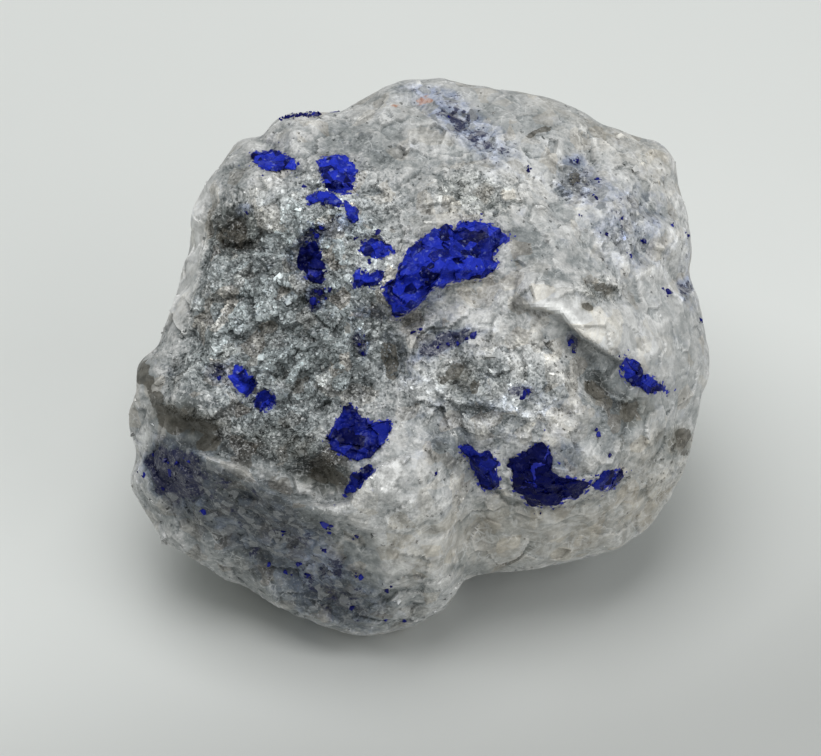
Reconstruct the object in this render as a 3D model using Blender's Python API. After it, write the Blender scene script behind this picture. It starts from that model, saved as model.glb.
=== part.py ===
"""Lazurite specimen: a broken lump of white marble with deep blue lazurite grains grown into it.

Metres, +Z up. The origin lies on the flat underside that the lump rests on.

The lump is described on its broken face, which leans back and looks up and forward:
u runs to the right along the face, v runs up it and w stands out of it, all in millimetres
from the middle of the lump. The rim of the face is OUTLINE. Everything in front of the rim
is the front side, shaped by front_depth, and everything behind it is the back side.
"""

import math

import bmesh
import bpy
import numpy as np
from mathutils import Matrix, Vector, noise
from mathutils.bvhtree import BVHTree

MM = 0.001

# ---------------------------------------------------------------- driving dimensions, millimetres

FACE_LEAN = math.radians(40)  # how far the broken face leans back from upright
MIDDLE_HEIGHT = 28.6  # middle of the lump above its underside
MIDDLE_BACK = -0.65  # middle of the lump behind the origin
BACK_DEPTH = 30.0  # middle of the lump to the back of it

STONE_FACES = 4700  # faces kept on the lump before its sockets are cut
GRAIN_RINGS = 6  # rings of faces on a lazurite grain from its crown to its root
GRAIN_GAP = 0.3  # room between a grain and its socket
SOCKET_OVER = 0.6  # how far a socket's walls run on over the lump's surface
GRAIN_SQUARENESS = 3.0

# Rim of the face, anticlockwise from the top.
OUTLINE = [
    (2.8, 34.5), (-2.5, 34.1), (-6.8, 32.1), (-9.8, 30.1), (-12.8, 30.1), (-17, 29.9),
    (-19.8, 27.4), (-22.8, 26.8), (-25.2, 23.1), (-28.1, 18.3), (-28.8, 13.1), (-30, 8),
    (-30.8, 5.5), (-32.5, 0.8), (-34.3, -0.2), (-35, -1.2), (-35, -5), (-35.9, -6.1),
    (-36.1, -8.1), (-35.3, -12.8), (-36.1, -14.9), (-35.9, -17.1), (-33.6, -20.3), (-31.9, -23.2),
    (-28.5, -25), (-24.4, -28), (-22.1, -28.5), (-17.5, -31.4), (-12.2, -34.1), (-6.9, -35.1),
    (-1.9, -34.2), (2.6, -32), (4.1, -30.4), (5, -28.2), (7, -27.2), (10, -27),
    (16.9, -26), (21.5, -25.2), (25, -24.2), (28.8, -21.2), (31, -18.1), (33, -14.4),
    (34.2, -9.6), (34.9, -5), (35.9, -3.1), (36.1, 0), (35.4, 4.4), (34.4, 7.5),
    (33.4, 9.9), (33.9, 12.5), (33.5, 16.6), (32.1, 21.9), (31.6, 24.6), (29.8, 26.5),
    (25.5, 27.8), (22.4, 28.8), (20.8, 30), (16.5, 32.1), (10, 33.1), (5.6, 33.6),
]

# How squarely the front turns over at the rim: (degrees round the rim from +u, exponent).
RIM_SQUARENESS = [(0, 2.6), (50, 2.3), (90, 2.4), (130, 3.2), (180, 4.6), (235, 3.6), (270, 3.2), (310, 3.0)]
BACK_SQUARENESS = 2.7

# Flat fracture planes of the broken face: (u, v, depth there, slope along u, slope along v).
FACE_PLANES = [
    (0, 2, 22.5, 0.02, -0.05),
    (-18, 4, 20.5, 0.24, 0.04),
    (6, 20, 20.0, 0.05, -0.55),
    (24, 4, 20.5, -0.55, -0.10),
    (20, 19, 18.5, -0.38, -0.50),
    (-18, 22, 18.5, 0.30, -0.40),
    (10, -17.5, 21.0, 0.00, 1.15),
    (27, -12, 18.5, -0.70, 0.90),
    (-22, -11, 17.0, 0.15, 0.25),
]
PLANE_BLEND = 1.6

# The foot below the face, which stands forward of it: its front, its white bulge and its right flank.
FOOT_PLANES = [
    (-18, -15.5, 20.6, 0.36, 0.66),
    (-3, -17.5, 22.6, 0.02, 0.50),
    (-20, -24, 16.5, 0.62, 0.95),
    (-6, -29, 17.2, -0.05, 1.25),
    (-1, -11.0, 22.6, 0.05, -0.55),
    (3.5, -22, 21.0, -1.30, 0.20),
    (-30, -12, 18.4, 0.75, 0.30),
]
FOOT_BLEND = 1.2

# Swellings and hollows of the face: (u, v, radius along, radius across, turn in degrees, rise).
SWELLINGS = [
    (-28.8, -3.1, 5.5, 3.4, -10, 1.8),
    (-3.0, -21, 4.5, 5.5, 0, 1.4),
    (30, -0.5, 6.0, 6.0, 0, 1.2),
    (11.2, 21.2, 7.0, 2.0, -18, 1.0),
    (14, 8, 4.5, 3.0, 20, 0.9),
    (12.5, -3.5, 5.0, 3.5, 0, 1.5),
    (8.5, -8.5, 3.5, 2.5, 0, 1.0),
    (5.5, 12.5, 7.0, 3.6, 22, 1.0),
    (-19, 1, 6.0, 4.5, 10, 0.8),
    (-23.5, 15.4, 3.4, 2.8, 0, -3.2),
    (-18.5, 13.2, 6.5, 1.6, -12, -1.5),
    (-13.5, 10.8, 1.8, 3.6, 8, -1.3),
    (-3.4, -0.3, 1.9, 3.6, 8, -2.2),
    (-1.0, 4.4, 4.5, 1.4, 24, -1.4),
    (19.0, -0.6, 2.0, 4.6, 32, -2.2),
    (21.5, -4.8, 2.2, 1.8, 0, -1.6),
    (26, -7, 2.6, 2.0, 0, -1.1),
    (32, -10.6, 2.2, 1.8, 0, -1.2),
    (20.6, 5.9, 1.2, 0.9, 0, -0.9),
    (-12.8, -14.6, 4.4, 2.0, -14, -2.4),
    (-28.0, -9.0, 4.8, 1.5, -14, -1.6),
    (33, 9.4, 9.0, 2.0, 8, -1.4),
    (21.5, 25.5, 1.8, 7.5, -25, -1.4),
    (6.6, -23.5, 2.2, 6.0, 8, -1.8),
]

# Ledges: the side to the left of the line, walked in order, stands higher. A ledge rises from
# nothing at each end. (points, height, reach of the step into that side)
LEDGES = [
    ([(-34.2, -4.6), (-31.9, -6.4), (-29.4, -7.7), (-26.9, -7.9), (-24.8, -7.2), (-22.6, -5.4)], 2.8, 4.0),
    ([(2, -10.6), (-1.4, -12.2), (-4.8, -13.5), (-7, -15.4), (-8.8, -18.1), (-11.6, -18.5), (-15.6, -17.8),
      (-19.6, -15.8), (-21.4, -14.1), (-25.4, -12.6), (-29.4, -11.2), (-34, -9.7)], 2.8, 5.5),
    ([(13.4, 6.2), (15.4, 6.1), (17.5, 5.5), (19.4, 4.4), (21, 3.1), (22.4, 1.4), (24.4, -1.2)], 3.0, 5.0),
    ([(-4.6, 7.4), (-2.5, 8.9), (1.2, 9.8), (5.2, 10.4), (9.4, 9.8)], 1.2, 2.6),
    ([(-4.4, 3.4), (-3.0, 4.2), (-1.0, 5.4), (1.5, 8.0), (5.0, 9.0), (8.8, 9.6)], 1.8, 4.0),
    ([(-9.6, -6.4), (-8.6, -2.4), (-8.8, 1.6), (-8.0, 6.0)], 1.5, 3.5),
    ([(26.8, -13.6), (22.5, -17.1), (18.1, -18.6), (13.8, -18.9), (10.5, -17.5), (7.5, -14.7), (4.6, -11.2)], -1.2, 3.0),
    ([(-22.0, 26.6), (-24.2, 22.0), (-26.3, 17.5), (-25.8, 13.1), (-27.4, 9.6), (-29.4, 4.2), (-31.6, 0.2)], 1.4, 3.5),
    ([(1.0, -4.0), (4.6, -6.2), (9.0, -6.4), (13.5, -8.2), (17.5, -7.6)], 1.3, 3.0),
    ([(-26.0, 3.0), (-21.0, 4.6), (-16.0, 3.6), (-11.0, 5.4)], 0.9, 3.0),
]
LEDGE_WIDTH = 0.45

# Parts of the face worn or split smooth: the same numbers, the last being how much of the
# roughness is gone.
SMOOTH_PARTS = [
    (29.5, -1, 6, 9, 0, 0.6),
    (14, -22.5, 20, 4, 8, 0.4),
    (4, 29, 18, 7, 0, 0.35),
    (19, 3.5, 5, 3.5, -40, 0.6),
]

# Fracture planes that cut the hidden sides: (towards u, towards v, towards -w, distance).
BACK_PLANES = [
    (0.08, 0.22, 0.97, 27.5),
    (-0.30, 0.66, 0.69, 31.0),
    (0.46, 0.62, 0.64, 33.0),
    (-0.78, 0.22, 0.58, 32.0),
    (0.72, 0.10, 0.69, 32.0),
    (-0.52, -0.36, 0.77, 29.5),
    (0.50, -0.50, 0.71, 31.0),
    (0.02, 0.90, 0.43, 33.0),
    (-0.86, -0.34, 0.38, 34.5),
    (0.88, -0.22, 0.42, 34.5),
]
BACK_BLEND = 0.9

# Rough surface: (size of the lumps, rise of them), coarse to fine.
ROUGHNESS = [(9.0, 1.7), (4.4, 0.95), (2.1, 0.4)]
BACK_LUMPS = (14.0, 3.0)  # larger lumps that only the back side has

# Lazurite grains on the broken face: rim points on the face, how deep each goes and how far it stands proud.
FACE_GRAINS = {
    "lazurite_centre": ([(-4.6, 8.4), (-2.9, 9.4), (-2.4, 11.1), (-1.0, 13.4), (1.8, 15.2), (3.3, 16.0),
                         (4.1, 15.2), (5.1, 16.3), (7.2, 16.4), (9.0, 15.9), (11.0, 14.6), (9.4, 13.1),
                         (8.8, 12.2), (9.6, 11.2), (8.2, 9.8), (5.2, 9.3), (3.7, 8.9), (1.5, 8.2),
                         (0.5, 6.8), (-1.2, 5.3), (-3.1, 4.5), (-3.7, 6.3)], 5.0, 0.7),
    "lazurite_round": ([(-12.5, 24.1), (-11.2, 24.5), (-9.8, 24.7), (-8.6, 23.9), (-8.0, 22.6), (-8.2, 21.1),
                        (-8.6, 20.1), (-9.8, 19.8), (-11.1, 20.1), (-11.9, 21.4)], 2.6, 0.35),
    "lazurite_upper_left": ([(-21.1, 25.0), (-19.6, 25.2), (-18.0, 25.2), (-16.6, 24.6), (-15.2, 23.6),
                             (-15.5, 22.9), (-16.4, 23.1), (-17.6, 22.9), (-19.6, 23.2), (-20.7, 24.0)], 2.0, 0.3),
    "lazurite_band": ([(-14.0, 19.4), (-13.0, 20.0), (-11.8, 20.2), (-10.6, 19.7), (-9.7, 18.9), (-10.0, 18.4),
                       (-11.4, 18.7), (-12.6, 18.9), (-13.7, 18.5)], 1.8, 0.25),
    "lazurite_fleck_north": ([(-9.3, 18.9), (-8.4, 18.2), (-7.8, 16.6), (-8.4, 16.5), (-9.2, 17.7)], 1.2, 0.2),
    "lazurite_dark_vein": ([(-14.1, 13.7), (-13.0, 14.1), (-12.4, 13.0), (-12.0, 11.5), (-11.8, 10.0),
                            (-12.0, 9.0), (-13.8, 9.2), (-14.6, 10.8), (-15.0, 12.3)], 3.0, 0.3),
    "lazurite_west_upper": ([(-7.6, 13.1), (-6.7, 14.0), (-5.6, 14.3), (-4.4, 13.6), (-3.4, 13.3), (-3.3, 12.6),
                             (-4.2, 12.1), (-5.2, 12.0), (-6.6, 12.3)], 1.8, 0.3),
    "lazurite_west_lower": ([(-8.2, 8.5), (-8.0, 10.0), (-7.5, 10.5), (-6.2, 9.8), (-5.1, 10.5), (-4.5, 10.2),
                             (-4.6, 9.4), (-5.6, 8.4), (-6.9, 8.7)], 1.8, 0.3),
    "lazurite_left": ([(-22.8, -1.4), (-21.7, -1.7), (-21.2, -2.6), (-20.2, -3.2), (-20.4, -4.2), (-21.2, -5.1),
                       (-22.2, -4.6), (-23.0, -3.7), (-23.4, -2.6)], 2.2, 0.35),
    "lazurite_left_lower": ([(-20.4, -6.4), (-20.2, -5.1), (-19.0, -4.5), (-17.9, -5.0), (-18.2, -6.2),
                             (-19.3, -6.9)], 1.6, 0.2),
    "lazurite_star": ([(-11.8, -10.6), (-10.8, -9.2), (-10.0, -7.8), (-8.6, -6.1), (-7.8, -6.8), (-7.3, -7.9),
                       (-6.0, -8.4), (-4.8, -8.2), (-3.6, -8.1), (-3.9, -9.6), (-4.9, -11.4), (-6.2, -12.6),
                       (-8.2, -12.9), (-10.0, -12.0)], 3.0, 0.5),
    "lazurite_star_tail": ([(-9.2, -17.2), (-8.7, -15.8), (-7.5, -14.5), (-6.1, -13.7), (-5.8, -14.2),
                            (-6.9, -15.4), (-8.1, -16.7)], 1.5, 0.25),
    "lazurite_right": ([(24.8, -1.4), (25.2, -0.2), (25.8, -0.6), (26.5, -2.0), (27.6, -2.4), (28.8, -3.0),
                        (29.8, -3.5), (30.7, -4.5), (29.8, -4.4), (28.6, -4.7), (27.4, -4.0), (25.9, -3.4),
                        (25.1, -2.6)], 2.2, 0.5),
    "lazurite_keel": ([(10.8, -12.9), (12.4, -12.5), (13.5, -11.5), (14.8, -10.8), (15.9, -11.4), (16.3, -12.5),
                       (16.0, -14.4), (17.2, -15.2), (19.8, -15.5), (21.0, -15.9), (20.4, -16.8),
                       (18.8, -17.8), (17.2, -18.6), (15.5, -18.7), (13.5, -18.5), (12.6, -17.4),
                       (11.6, -16.6), (11.5, -14.8)], 3.6, 0.6),
    "lazurite_keel_left": ([(4.8, -11.5), (6.0, -11.0), (7.0, -12.2), (8.6, -12.3), (9.6, -13.2), (9.4, -14.2),
                            (9.8, -16.2), (8.2, -16.9), (7.4, -15.9), (6.8, -14.4), (6.2, -12.9)], 2.2, 0.35),
    "lazurite_keel_right": ([(21.4, -15.9), (22.1, -15.2), (23.4, -14.5), (25.0, -14.1), (24.8, -15.4),
                             (23.8, -16.5), (22.8, -16.9), (21.8, -16.6)], 1.8, 0.4),
}

# The grain that shows just behind the rim at the upper left: the way out of the lump that it
# faces, in the face's frame, then its rim points, seen against that way, its depth and its rise.
RIM_GRAIN_WAY = (-0.36, 0.87, -0.32)
RIM_GRAIN = ([(-2.9, 0.7), (-1.2, 1.4), (1.0, 1.3), (2.6, 0.5), (2.2, -1.0), (0.2, -1.7), (-2.0, -1.2)], 2.0, 0.4)
FACE_WAY = (0, 0, 1)

MARBLE_COLOUR = (0.42, 0.43, 0.42, 1.0)
LAZURITE_COLOUR = (0.012, 0.016, 0.26, 1.0)

# ---------------------------------------------------------------- the face's own frame

RIGHT = Vector((1, 0, 0))
UP_FACE = Vector((0, math.sin(FACE_LEAN), math.cos(FACE_LEAN)))
OUT_OF_FACE = Vector((0, -math.cos(FACE_LEAN), math.sin(FACE_LEAN)))
MIDDLE = Vector((0, MIDDLE_BACK, MIDDLE_HEIGHT))


def face_to_part():
    """Matrix from the face's millimetres to the part's metres."""
    turn = Matrix((RIGHT, UP_FACE, OUT_OF_FACE)).transposed().to_4x4()
    return Matrix.Scale(MM, 4) @ Matrix.Translation(MIDDLE) @ turn


# ---------------------------------------------------------------- shape of the lump


def polar(points, centre=(0, 0)):
    """Angles, rising, and radii of an outline about a centre, with one turn added at each end."""
    offsets = np.array(points, float) - centre
    angles = np.arctan2(offsets[:, 1], offsets[:, 0])
    order = np.argsort(angles)
    radii = np.hypot(offsets[:, 0], offsets[:, 1])
    turn = 2 * np.pi
    angles = np.concatenate([angles[order] - turn, angles[order], angles[order] + turn])
    return angles, np.tile(radii[order], 3)


def rim_radius(theta, points, centre=(0, 0), soften=0.02):
    """Radius of an outline at angles theta, its corners rounded over soften radians each way."""
    angles, radii = polar(points, centre)
    samples = [np.interp(theta + shift, angles, radii) for shift in (-soften, 0.0, soften)]
    return np.mean(samples, axis=0)


def around(theta, table):
    """A value given at a few angles in degrees, read at theta."""
    degrees, values = np.array(table, float).T
    return np.interp(np.degrees(theta) % 360, degrees, values, period=360)


def soft_min(values, blend):
    """The least of several height fields, rounded over where they meet."""
    lowest = np.min(values, axis=0)
    return lowest - blend * np.log(np.sum(np.exp((lowest - values) / blend), axis=0))


def plane_depths(u, v, planes):
    return np.array([depth + du * (u - pu) + dv * (v - pv) for pu, pv, depth, du, dv in planes])


def swelling(u, v, centre_u, centre_v, along, across, turn, rise):
    """A smooth oval swelling or hollow."""
    cos, sin = math.cos(math.radians(turn)), math.sin(math.radians(turn))
    a = ((u - centre_u) * cos + (v - centre_v) * sin) / along
    b = ((v - centre_v) * cos - (u - centre_u) * sin) / across
    return rise * np.exp(-(a * a + b * b))


def ledge(u, v, points, height, reach):
    """A step along a line that dies away over reach on its high side and towards its ends."""
    nearest = np.full(u.shape, np.inf)
    side = np.zeros(u.shape)
    along = np.zeros(u.shape)
    walked = 0.0
    for (u0, v0), (u1, v1) in zip(points, points[1:]):
        du, dv = u1 - u0, v1 - v0
        length = math.hypot(du, dv)
        share = np.clip(((u - u0) * du + (v - v0) * dv) / length**2, 0, 1)
        distance = np.hypot(u - u0 - share * du, v - v0 - share * dv)
        closer = distance < nearest
        side = np.where(closer, (du * (v - v0) - dv * (u - u0)) / length, side)
        along = np.where(closer, walked + share * length, along)
        nearest = np.where(closer, distance, nearest)
        walked += length
    step = 1 / (1 + np.exp(-np.clip(side / LEDGE_WIDTH, -30, 30) * 2))
    taper = 1 - np.abs(2 * along / walked - 1) ** 4
    return height * taper * step * np.exp(-((nearest / reach) ** 2))


def front_depth(u, v):
    """How far the front stands out of the rim's plane, before it turns over at the rim."""
    face = soft_min(plane_depths(u, v, FACE_PLANES), PLANE_BLEND)
    foot = soft_min(plane_depths(u, v, FOOT_PLANES), FOOT_BLEND)
    depth = -soft_min(np.array([-face, -foot]), 0.5)
    for numbers in SWELLINGS:
        depth += swelling(u, v, *numbers)
    for points, height, reach in LEDGES:
        depth += ledge(u, v, points, height, reach)
    return np.maximum(depth, 1.0)


def lump_points(directions):
    """Unit directions in the face's frame carried to the surface of the lump, in millimetres."""
    across = np.hypot(directions[:, 0], directions[:, 1])
    theta = np.arctan2(directions[:, 1], directions[:, 0])
    front = directions[:, 2] >= 0
    square = np.where(front, around(theta, RIM_SQUARENESS), BACK_SQUARENESS)
    stretch = (across**square + np.abs(directions[:, 2]) ** square) ** (-1 / square)
    rim = rim_radius(theta, OUTLINE)
    span, rise = across * stretch, np.abs(directions[:, 2]) * stretch
    u, v = rim * span * np.cos(theta), rim * span * np.sin(theta)
    depth = np.where(front, front_depth(u, v), -BACK_DEPTH)
    points = cut_back(np.stack([u, v, rise * depth], axis=1))
    tilt = span ** (square - 1) / rim
    outward = np.stack([tilt * np.cos(theta), tilt * np.sin(theta), rise ** (square - 1) / depth], axis=1)
    outward /= np.linalg.norm(outward, axis=1)[:, None]
    points += outward * roughness(points, 1 - (1 - rise) ** 3)[:, None]
    inside = np.minimum(1, rim / np.maximum(np.hypot(points[:, 0], points[:, 1]), 1e-6))
    points[:, :2] *= inside[:, None]
    return points


def cut_back(points):
    """Flat fracture planes on the back side, taken off by drawing the surface in to them."""
    shrink = [np.ones(len(points))]
    for nu, nv, nw, distance in BACK_PLANES:
        normal = Vector((nu, nv, -nw)).normalized()
        reach = points @ np.array(normal)
        shrink.append(distance / np.maximum(reach, 1e-6))
    shrink = np.clip(np.array(shrink), 0, 3)
    factor = soft_min(shrink, BACK_BLEND / BACK_DEPTH)
    factor = np.where(points[:, 2] < 0, np.minimum(factor, 1), 1)
    return points * factor[:, None]


def roughness(points, freedom):
    """How far the surface is raised at each point; freedom is 0 at the rim, which keeps its place."""
    rise = np.zeros(len(points))
    for size, height in ROUGHNESS:
        rise += height * np.array([noise.noise(Vector(p) / size) for p in points])
    for numbers in SMOOTH_PARTS:
        rise *= 1 - np.where(points[:, 2] > 0, swelling(points[:, 0], points[:, 1], *numbers), 0)
    size, height = BACK_LUMPS
    lumps = height * np.array([noise.noise(Vector(p) / size) for p in points])
    rise += np.where(points[:, 2] < 0, lumps * freedom, 0)
    return (0.15 + 0.85 * freedom) * rise


# ---------------------------------------------------------------- building the solids


def clear_scene():
    for obj in list(bpy.data.objects):
        bpy.data.objects.remove(obj)


def collection_named(name):
    made = bpy.data.collections.new(name)
    bpy.context.scene.collection.children.link(made)
    return made


def material_named(name, colour, roughness):
    made = bpy.data.materials.new(name)
    made.use_nodes = True
    surface = made.node_tree.nodes["Principled BSDF"]
    surface.inputs["Base Color"].default_value = colour
    surface.inputs["Roughness"].default_value = roughness
    surface.inputs["Metallic"].default_value = 0.0
    return made


def ball_mesh(name, subdivisions):
    """A unit ball of even triangles."""
    shape = bmesh.new()
    bmesh.ops.create_icosphere(shape, subdivisions=subdivisions, radius=1.0)
    mesh = bpy.data.meshes.new(name)
    shape.to_mesh(mesh)
    shape.free()
    return mesh


def vertex_array(mesh):
    found = np.empty(len(mesh.vertices) * 3, np.float32)
    mesh.vertices.foreach_get("co", found)
    return found.reshape(-1, 3).astype(float)


def set_vertices(mesh, points):
    mesh.vertices.foreach_set("co", np.ascontiguousarray(points, np.float32).ravel())
    mesh.update()


def thinned(mesh, faces):
    """The mesh with only as many triangles as given, kept where the shape needs them."""
    holder = bpy.data.objects.new("thinning", mesh)
    bpy.context.scene.collection.objects.link(holder)
    modifier = holder.modifiers.new("fewer faces", "DECIMATE")
    modifier.ratio = min(1.0, faces / len(mesh.polygons))
    graph = bpy.context.evaluated_depsgraph_get()
    result = bpy.data.meshes.new_from_object(holder.evaluated_get(graph))
    bpy.data.objects.remove(holder)
    return result


def cut_underside(mesh):
    """Cuts the mesh, in the part's metres, off flat at the height of the surface it rests on."""
    shape = bmesh.new()
    shape.from_mesh(mesh)
    everything = shape.verts[:] + shape.edges[:] + shape.faces[:]
    cut = bmesh.ops.bisect_plane(
        shape, geom=everything, dist=1e-6, plane_co=(0, 0, 0), plane_no=(0, 0, -1), clear_outer=True
    )
    edges = [item for item in cut["geom_cut"] if isinstance(item, bmesh.types.BMEdge)]
    bmesh.ops.contextual_create(shape, geom=edges)
    bmesh.ops.recalc_face_normals(shape, faces=shape.faces[:])
    bmesh.ops.triangulate(shape, faces=[face for face in shape.faces if len(face.verts) > 4])
    shape.to_mesh(mesh)
    shape.free()


def make_lump(collection, material):
    ball = ball_mesh("marble_matrix", 6)
    set_vertices(ball, lump_points(vertex_array(ball)))
    mesh = thinned(ball, STONE_FACES)
    mesh.transform(face_to_part())
    cut_underside(mesh)
    mesh.name = "marble_matrix"
    mesh.materials.append(material)
    lump = bpy.data.objects.new("marble_matrix", mesh)
    collection.objects.link(lump)
    return lump


def surface_of(lump):
    """The lump's surface in face millimetres, ready for rays."""
    mesh = lump.data.copy()
    mesh.transform(face_to_part().inverted())
    shape = bmesh.new()
    shape.from_mesh(mesh)
    tree = BVHTree.FromBMesh(shape)
    shape.free()
    bpy.data.meshes.remove(mesh)
    return tree


def heights(tree, turn, x, y):
    """Height of the lump's surface over points of a plane that faces the way turn takes +z."""
    way = turn @ Vector((0, 0, 1))
    starts = [turn @ Vector((a, b, 100)) for a, b in zip(x, y)]
    return np.array([100 - tree.ray_cast(start, -way)[3] for start in starts])


def grain_mesh(name, way, outline, tree, depth, proud, room=0.0, over=0.0):
    """A lens whose rim follows outline on the lump, with a crown that stands proud and a deep root.

    A socket is the same lens with room round it, carried up over the surface so its walls cut cleanly.
    """
    turn = Vector((0, 0, 1)).rotation_difference(Vector(way))
    centre = np.mean(outline, axis=0)
    mesh = lens_mesh(name, 6 + len(outline))
    directions = vertex_array(mesh)
    theta = np.arctan2(directions[:, 1], directions[:, 0])
    across = np.hypot(directions[:, 0], directions[:, 1])
    square = GRAIN_SQUARENESS
    stretch = (across**square + np.abs(directions[:, 2]) ** square) ** (-1 / square)
    radius = rim_radius(theta, outline, centre, 0.05)
    span = across * stretch
    surface_x, surface_y = centre[0] + radius * span * np.cos(theta), centre[1] + radius * span * np.sin(theta)
    rise = directions[:, 2] * stretch
    surface = heights(tree, turn, surface_x, surface_y)
    root = flat_under(outline, tree, turn, surface_x, surface_y)
    fall = np.clip(-rise, 0, 1)
    z = surface + (root - surface) * fall - fall * (depth + room)
    z += np.clip(rise, 0, 1) * (proud + over) + over * (1 - fall) ** 2
    x, y = surface_x + room * span * np.cos(theta), surface_y + room * span * np.sin(theta)
    points = np.stack([x, y, z], axis=1) @ np.array(turn.to_matrix().transposed())
    set_vertices(mesh, points)
    mesh.transform(face_to_part())
    return mesh


def lens_mesh(name, sides):
    """A unit ball of rings, for a shape with a rim."""
    shape = bmesh.new()
    bmesh.ops.create_uvsphere(shape, u_segments=sides, v_segments=GRAIN_RINGS, radius=1.0)
    bmesh.ops.triangulate(shape, faces=shape.faces[:])
    mesh = bpy.data.meshes.new(name)
    shape.to_mesh(mesh)
    shape.free()
    return mesh


def flat_under(outline, tree, turn, x, y):
    """The plane that lies nearest to the lump's surface along an outline, read at x and y."""
    rim = np.array(outline, float)
    terms = np.column_stack([rim, np.ones(len(rim))])
    slope_x, slope_y, level = np.linalg.lstsq(terms, heights(tree, turn, *rim.T), rcond=None)[0]
    return slope_x * x + slope_y * y + level


def make_grain(name, way, outline, depth, proud, lump, tree, collection, cutters, material):
    """A lazurite grain, and the socket that the lump is cut away for it."""
    mesh = grain_mesh(name, way, outline, tree, depth, proud)
    mesh.materials.append(material)
    grain = bpy.data.objects.new(name, mesh)
    collection.objects.link(grain)
    socket_name = name + "_socket"
    socket_mesh = grain_mesh(socket_name, way, outline, tree, depth, proud, GRAIN_GAP, SOCKET_OVER)
    socket = bpy.data.objects.new(socket_name, socket_mesh)
    socket.hide_render = True
    socket.display_type = "WIRE"
    cutters.objects.link(socket)
    cut = lump.modifiers.new(name, "BOOLEAN")
    cut.operation = "DIFFERENCE"
    cut.object = socket


def main():
    clear_scene()
    specimen = collection_named("lazurite specimen")
    cutters = collection_named("grain sockets")
    marble = material_named("marble", MARBLE_COLOUR, 0.6)
    lazurite = material_named("lazurite", LAZURITE_COLOUR, 0.45)
    lump = make_lump(specimen, marble)
    tree = surface_of(lump)
    for name, (outline, depth, proud) in FACE_GRAINS.items():
        make_grain(name, FACE_WAY, outline, depth, proud, lump, tree, specimen, cutters, lazurite)
    outline, depth, proud = RIM_GRAIN
    make_grain("lazurite_rim", RIM_GRAIN_WAY, outline, depth, proud, lump, tree, specimen, cutters, lazurite)


main()
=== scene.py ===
"""Lazurite specimen: the finished surface of the lump of marble and of the lazurite grown into it."""

import math

import bmesh
import bpy
import numpy as np
from mathutils import Matrix, Vector, noise
from mathutils.bvhtree import BVHTree


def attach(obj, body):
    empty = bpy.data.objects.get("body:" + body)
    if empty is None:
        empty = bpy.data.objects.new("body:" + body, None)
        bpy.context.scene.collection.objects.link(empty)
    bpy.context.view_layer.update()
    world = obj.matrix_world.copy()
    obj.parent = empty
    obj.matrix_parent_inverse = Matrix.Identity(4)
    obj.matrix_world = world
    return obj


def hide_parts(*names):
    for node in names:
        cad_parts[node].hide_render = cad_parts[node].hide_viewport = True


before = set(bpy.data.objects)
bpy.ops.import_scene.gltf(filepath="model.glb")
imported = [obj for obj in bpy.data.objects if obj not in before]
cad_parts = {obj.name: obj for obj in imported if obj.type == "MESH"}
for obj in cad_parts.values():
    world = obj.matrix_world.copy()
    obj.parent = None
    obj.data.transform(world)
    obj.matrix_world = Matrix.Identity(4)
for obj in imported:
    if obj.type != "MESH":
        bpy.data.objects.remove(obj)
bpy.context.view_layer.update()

MM = 0.001
FULL_TURN = 6.283

# ---------------------------------------------------------------- the lump's shape, millimetres
# u runs right along the broken face, v up it and w out of it, from the middle of the lump.

FACE_LEAN = math.radians(40)
MIDDLE = Vector((0, -0.65, 28.6))
BACK_DEPTH = 30.0

OUTLINE = [
    (2.8, 34.5), (-2.5, 34.1), (-6.8, 32.1), (-9.8, 30.1), (-12.8, 30.1), (-17, 29.9),
    (-19.8, 27.4), (-22.8, 26.8), (-25.2, 23.1), (-28.1, 18.3), (-28.8, 13.1), (-30, 8),
    (-30.8, 5.5), (-32.5, 0.8), (-34.3, -0.2), (-35, -1.2), (-35, -5), (-35.9, -6.1),
    (-36.1, -8.1), (-35.3, -12.8), (-36.1, -14.9), (-35.9, -17.1), (-33.6, -20.3), (-31.9, -23.2),
    (-28.5, -25), (-24.4, -28), (-22.1, -28.5), (-17.5, -31.4), (-12.2, -34.1), (-6.9, -35.1),
    (-1.9, -34.2), (2.6, -32), (4.1, -30.4), (5, -28.2), (7, -27.2), (10, -27),
    (16.9, -26), (21.5, -25.2), (25, -24.2), (28.8, -21.2), (31, -18.1), (33, -14.4),
    (34.2, -9.6), (34.9, -5), (35.9, -3.1), (36.1, 0), (35.4, 4.4), (34.4, 7.5),
    (33.4, 9.9), (33.9, 12.5), (33.5, 16.6), (32.1, 21.9), (31.6, 24.6), (29.8, 26.5),
    (25.5, 27.8), (22.4, 28.8), (20.8, 30), (16.5, 32.1), (10, 33.1), (5.6, 33.6),
]
# How square the lump's section is, by the angle round the outline in degrees; 2 is round.
RIM_SQUARENESS = [(0, 2.6), (50, 2.3), (90, 2.4), (130, 3.2), (180, 4.6), (235, 3.6), (270, 3.2), (310, 3.0)]
BACK_SQUARENESS = 2.7

# Fracture planes of the face: (u, v, depth there, slope along u, slope along v).
FACE_PLANES = [
    (0, 2, 22.5, 0.02, -0.05),
    (-18, 4, 20.5, 0.24, 0.04),
    (6, 20, 20.0, 0.05, -0.55),
    (24, 4, 20.5, -0.55, -0.10),
    (20, 19, 18.5, -0.38, -0.50),
    (-18, 22, 18.5, 0.30, -0.40),
    (10, -17.5, 21.0, 0.00, 1.15),
    (27, -12, 18.5, -0.70, 0.90),
    (-22, -11, 17.0, 0.15, 0.25),
]
PLANE_BLEND = 1.6
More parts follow.
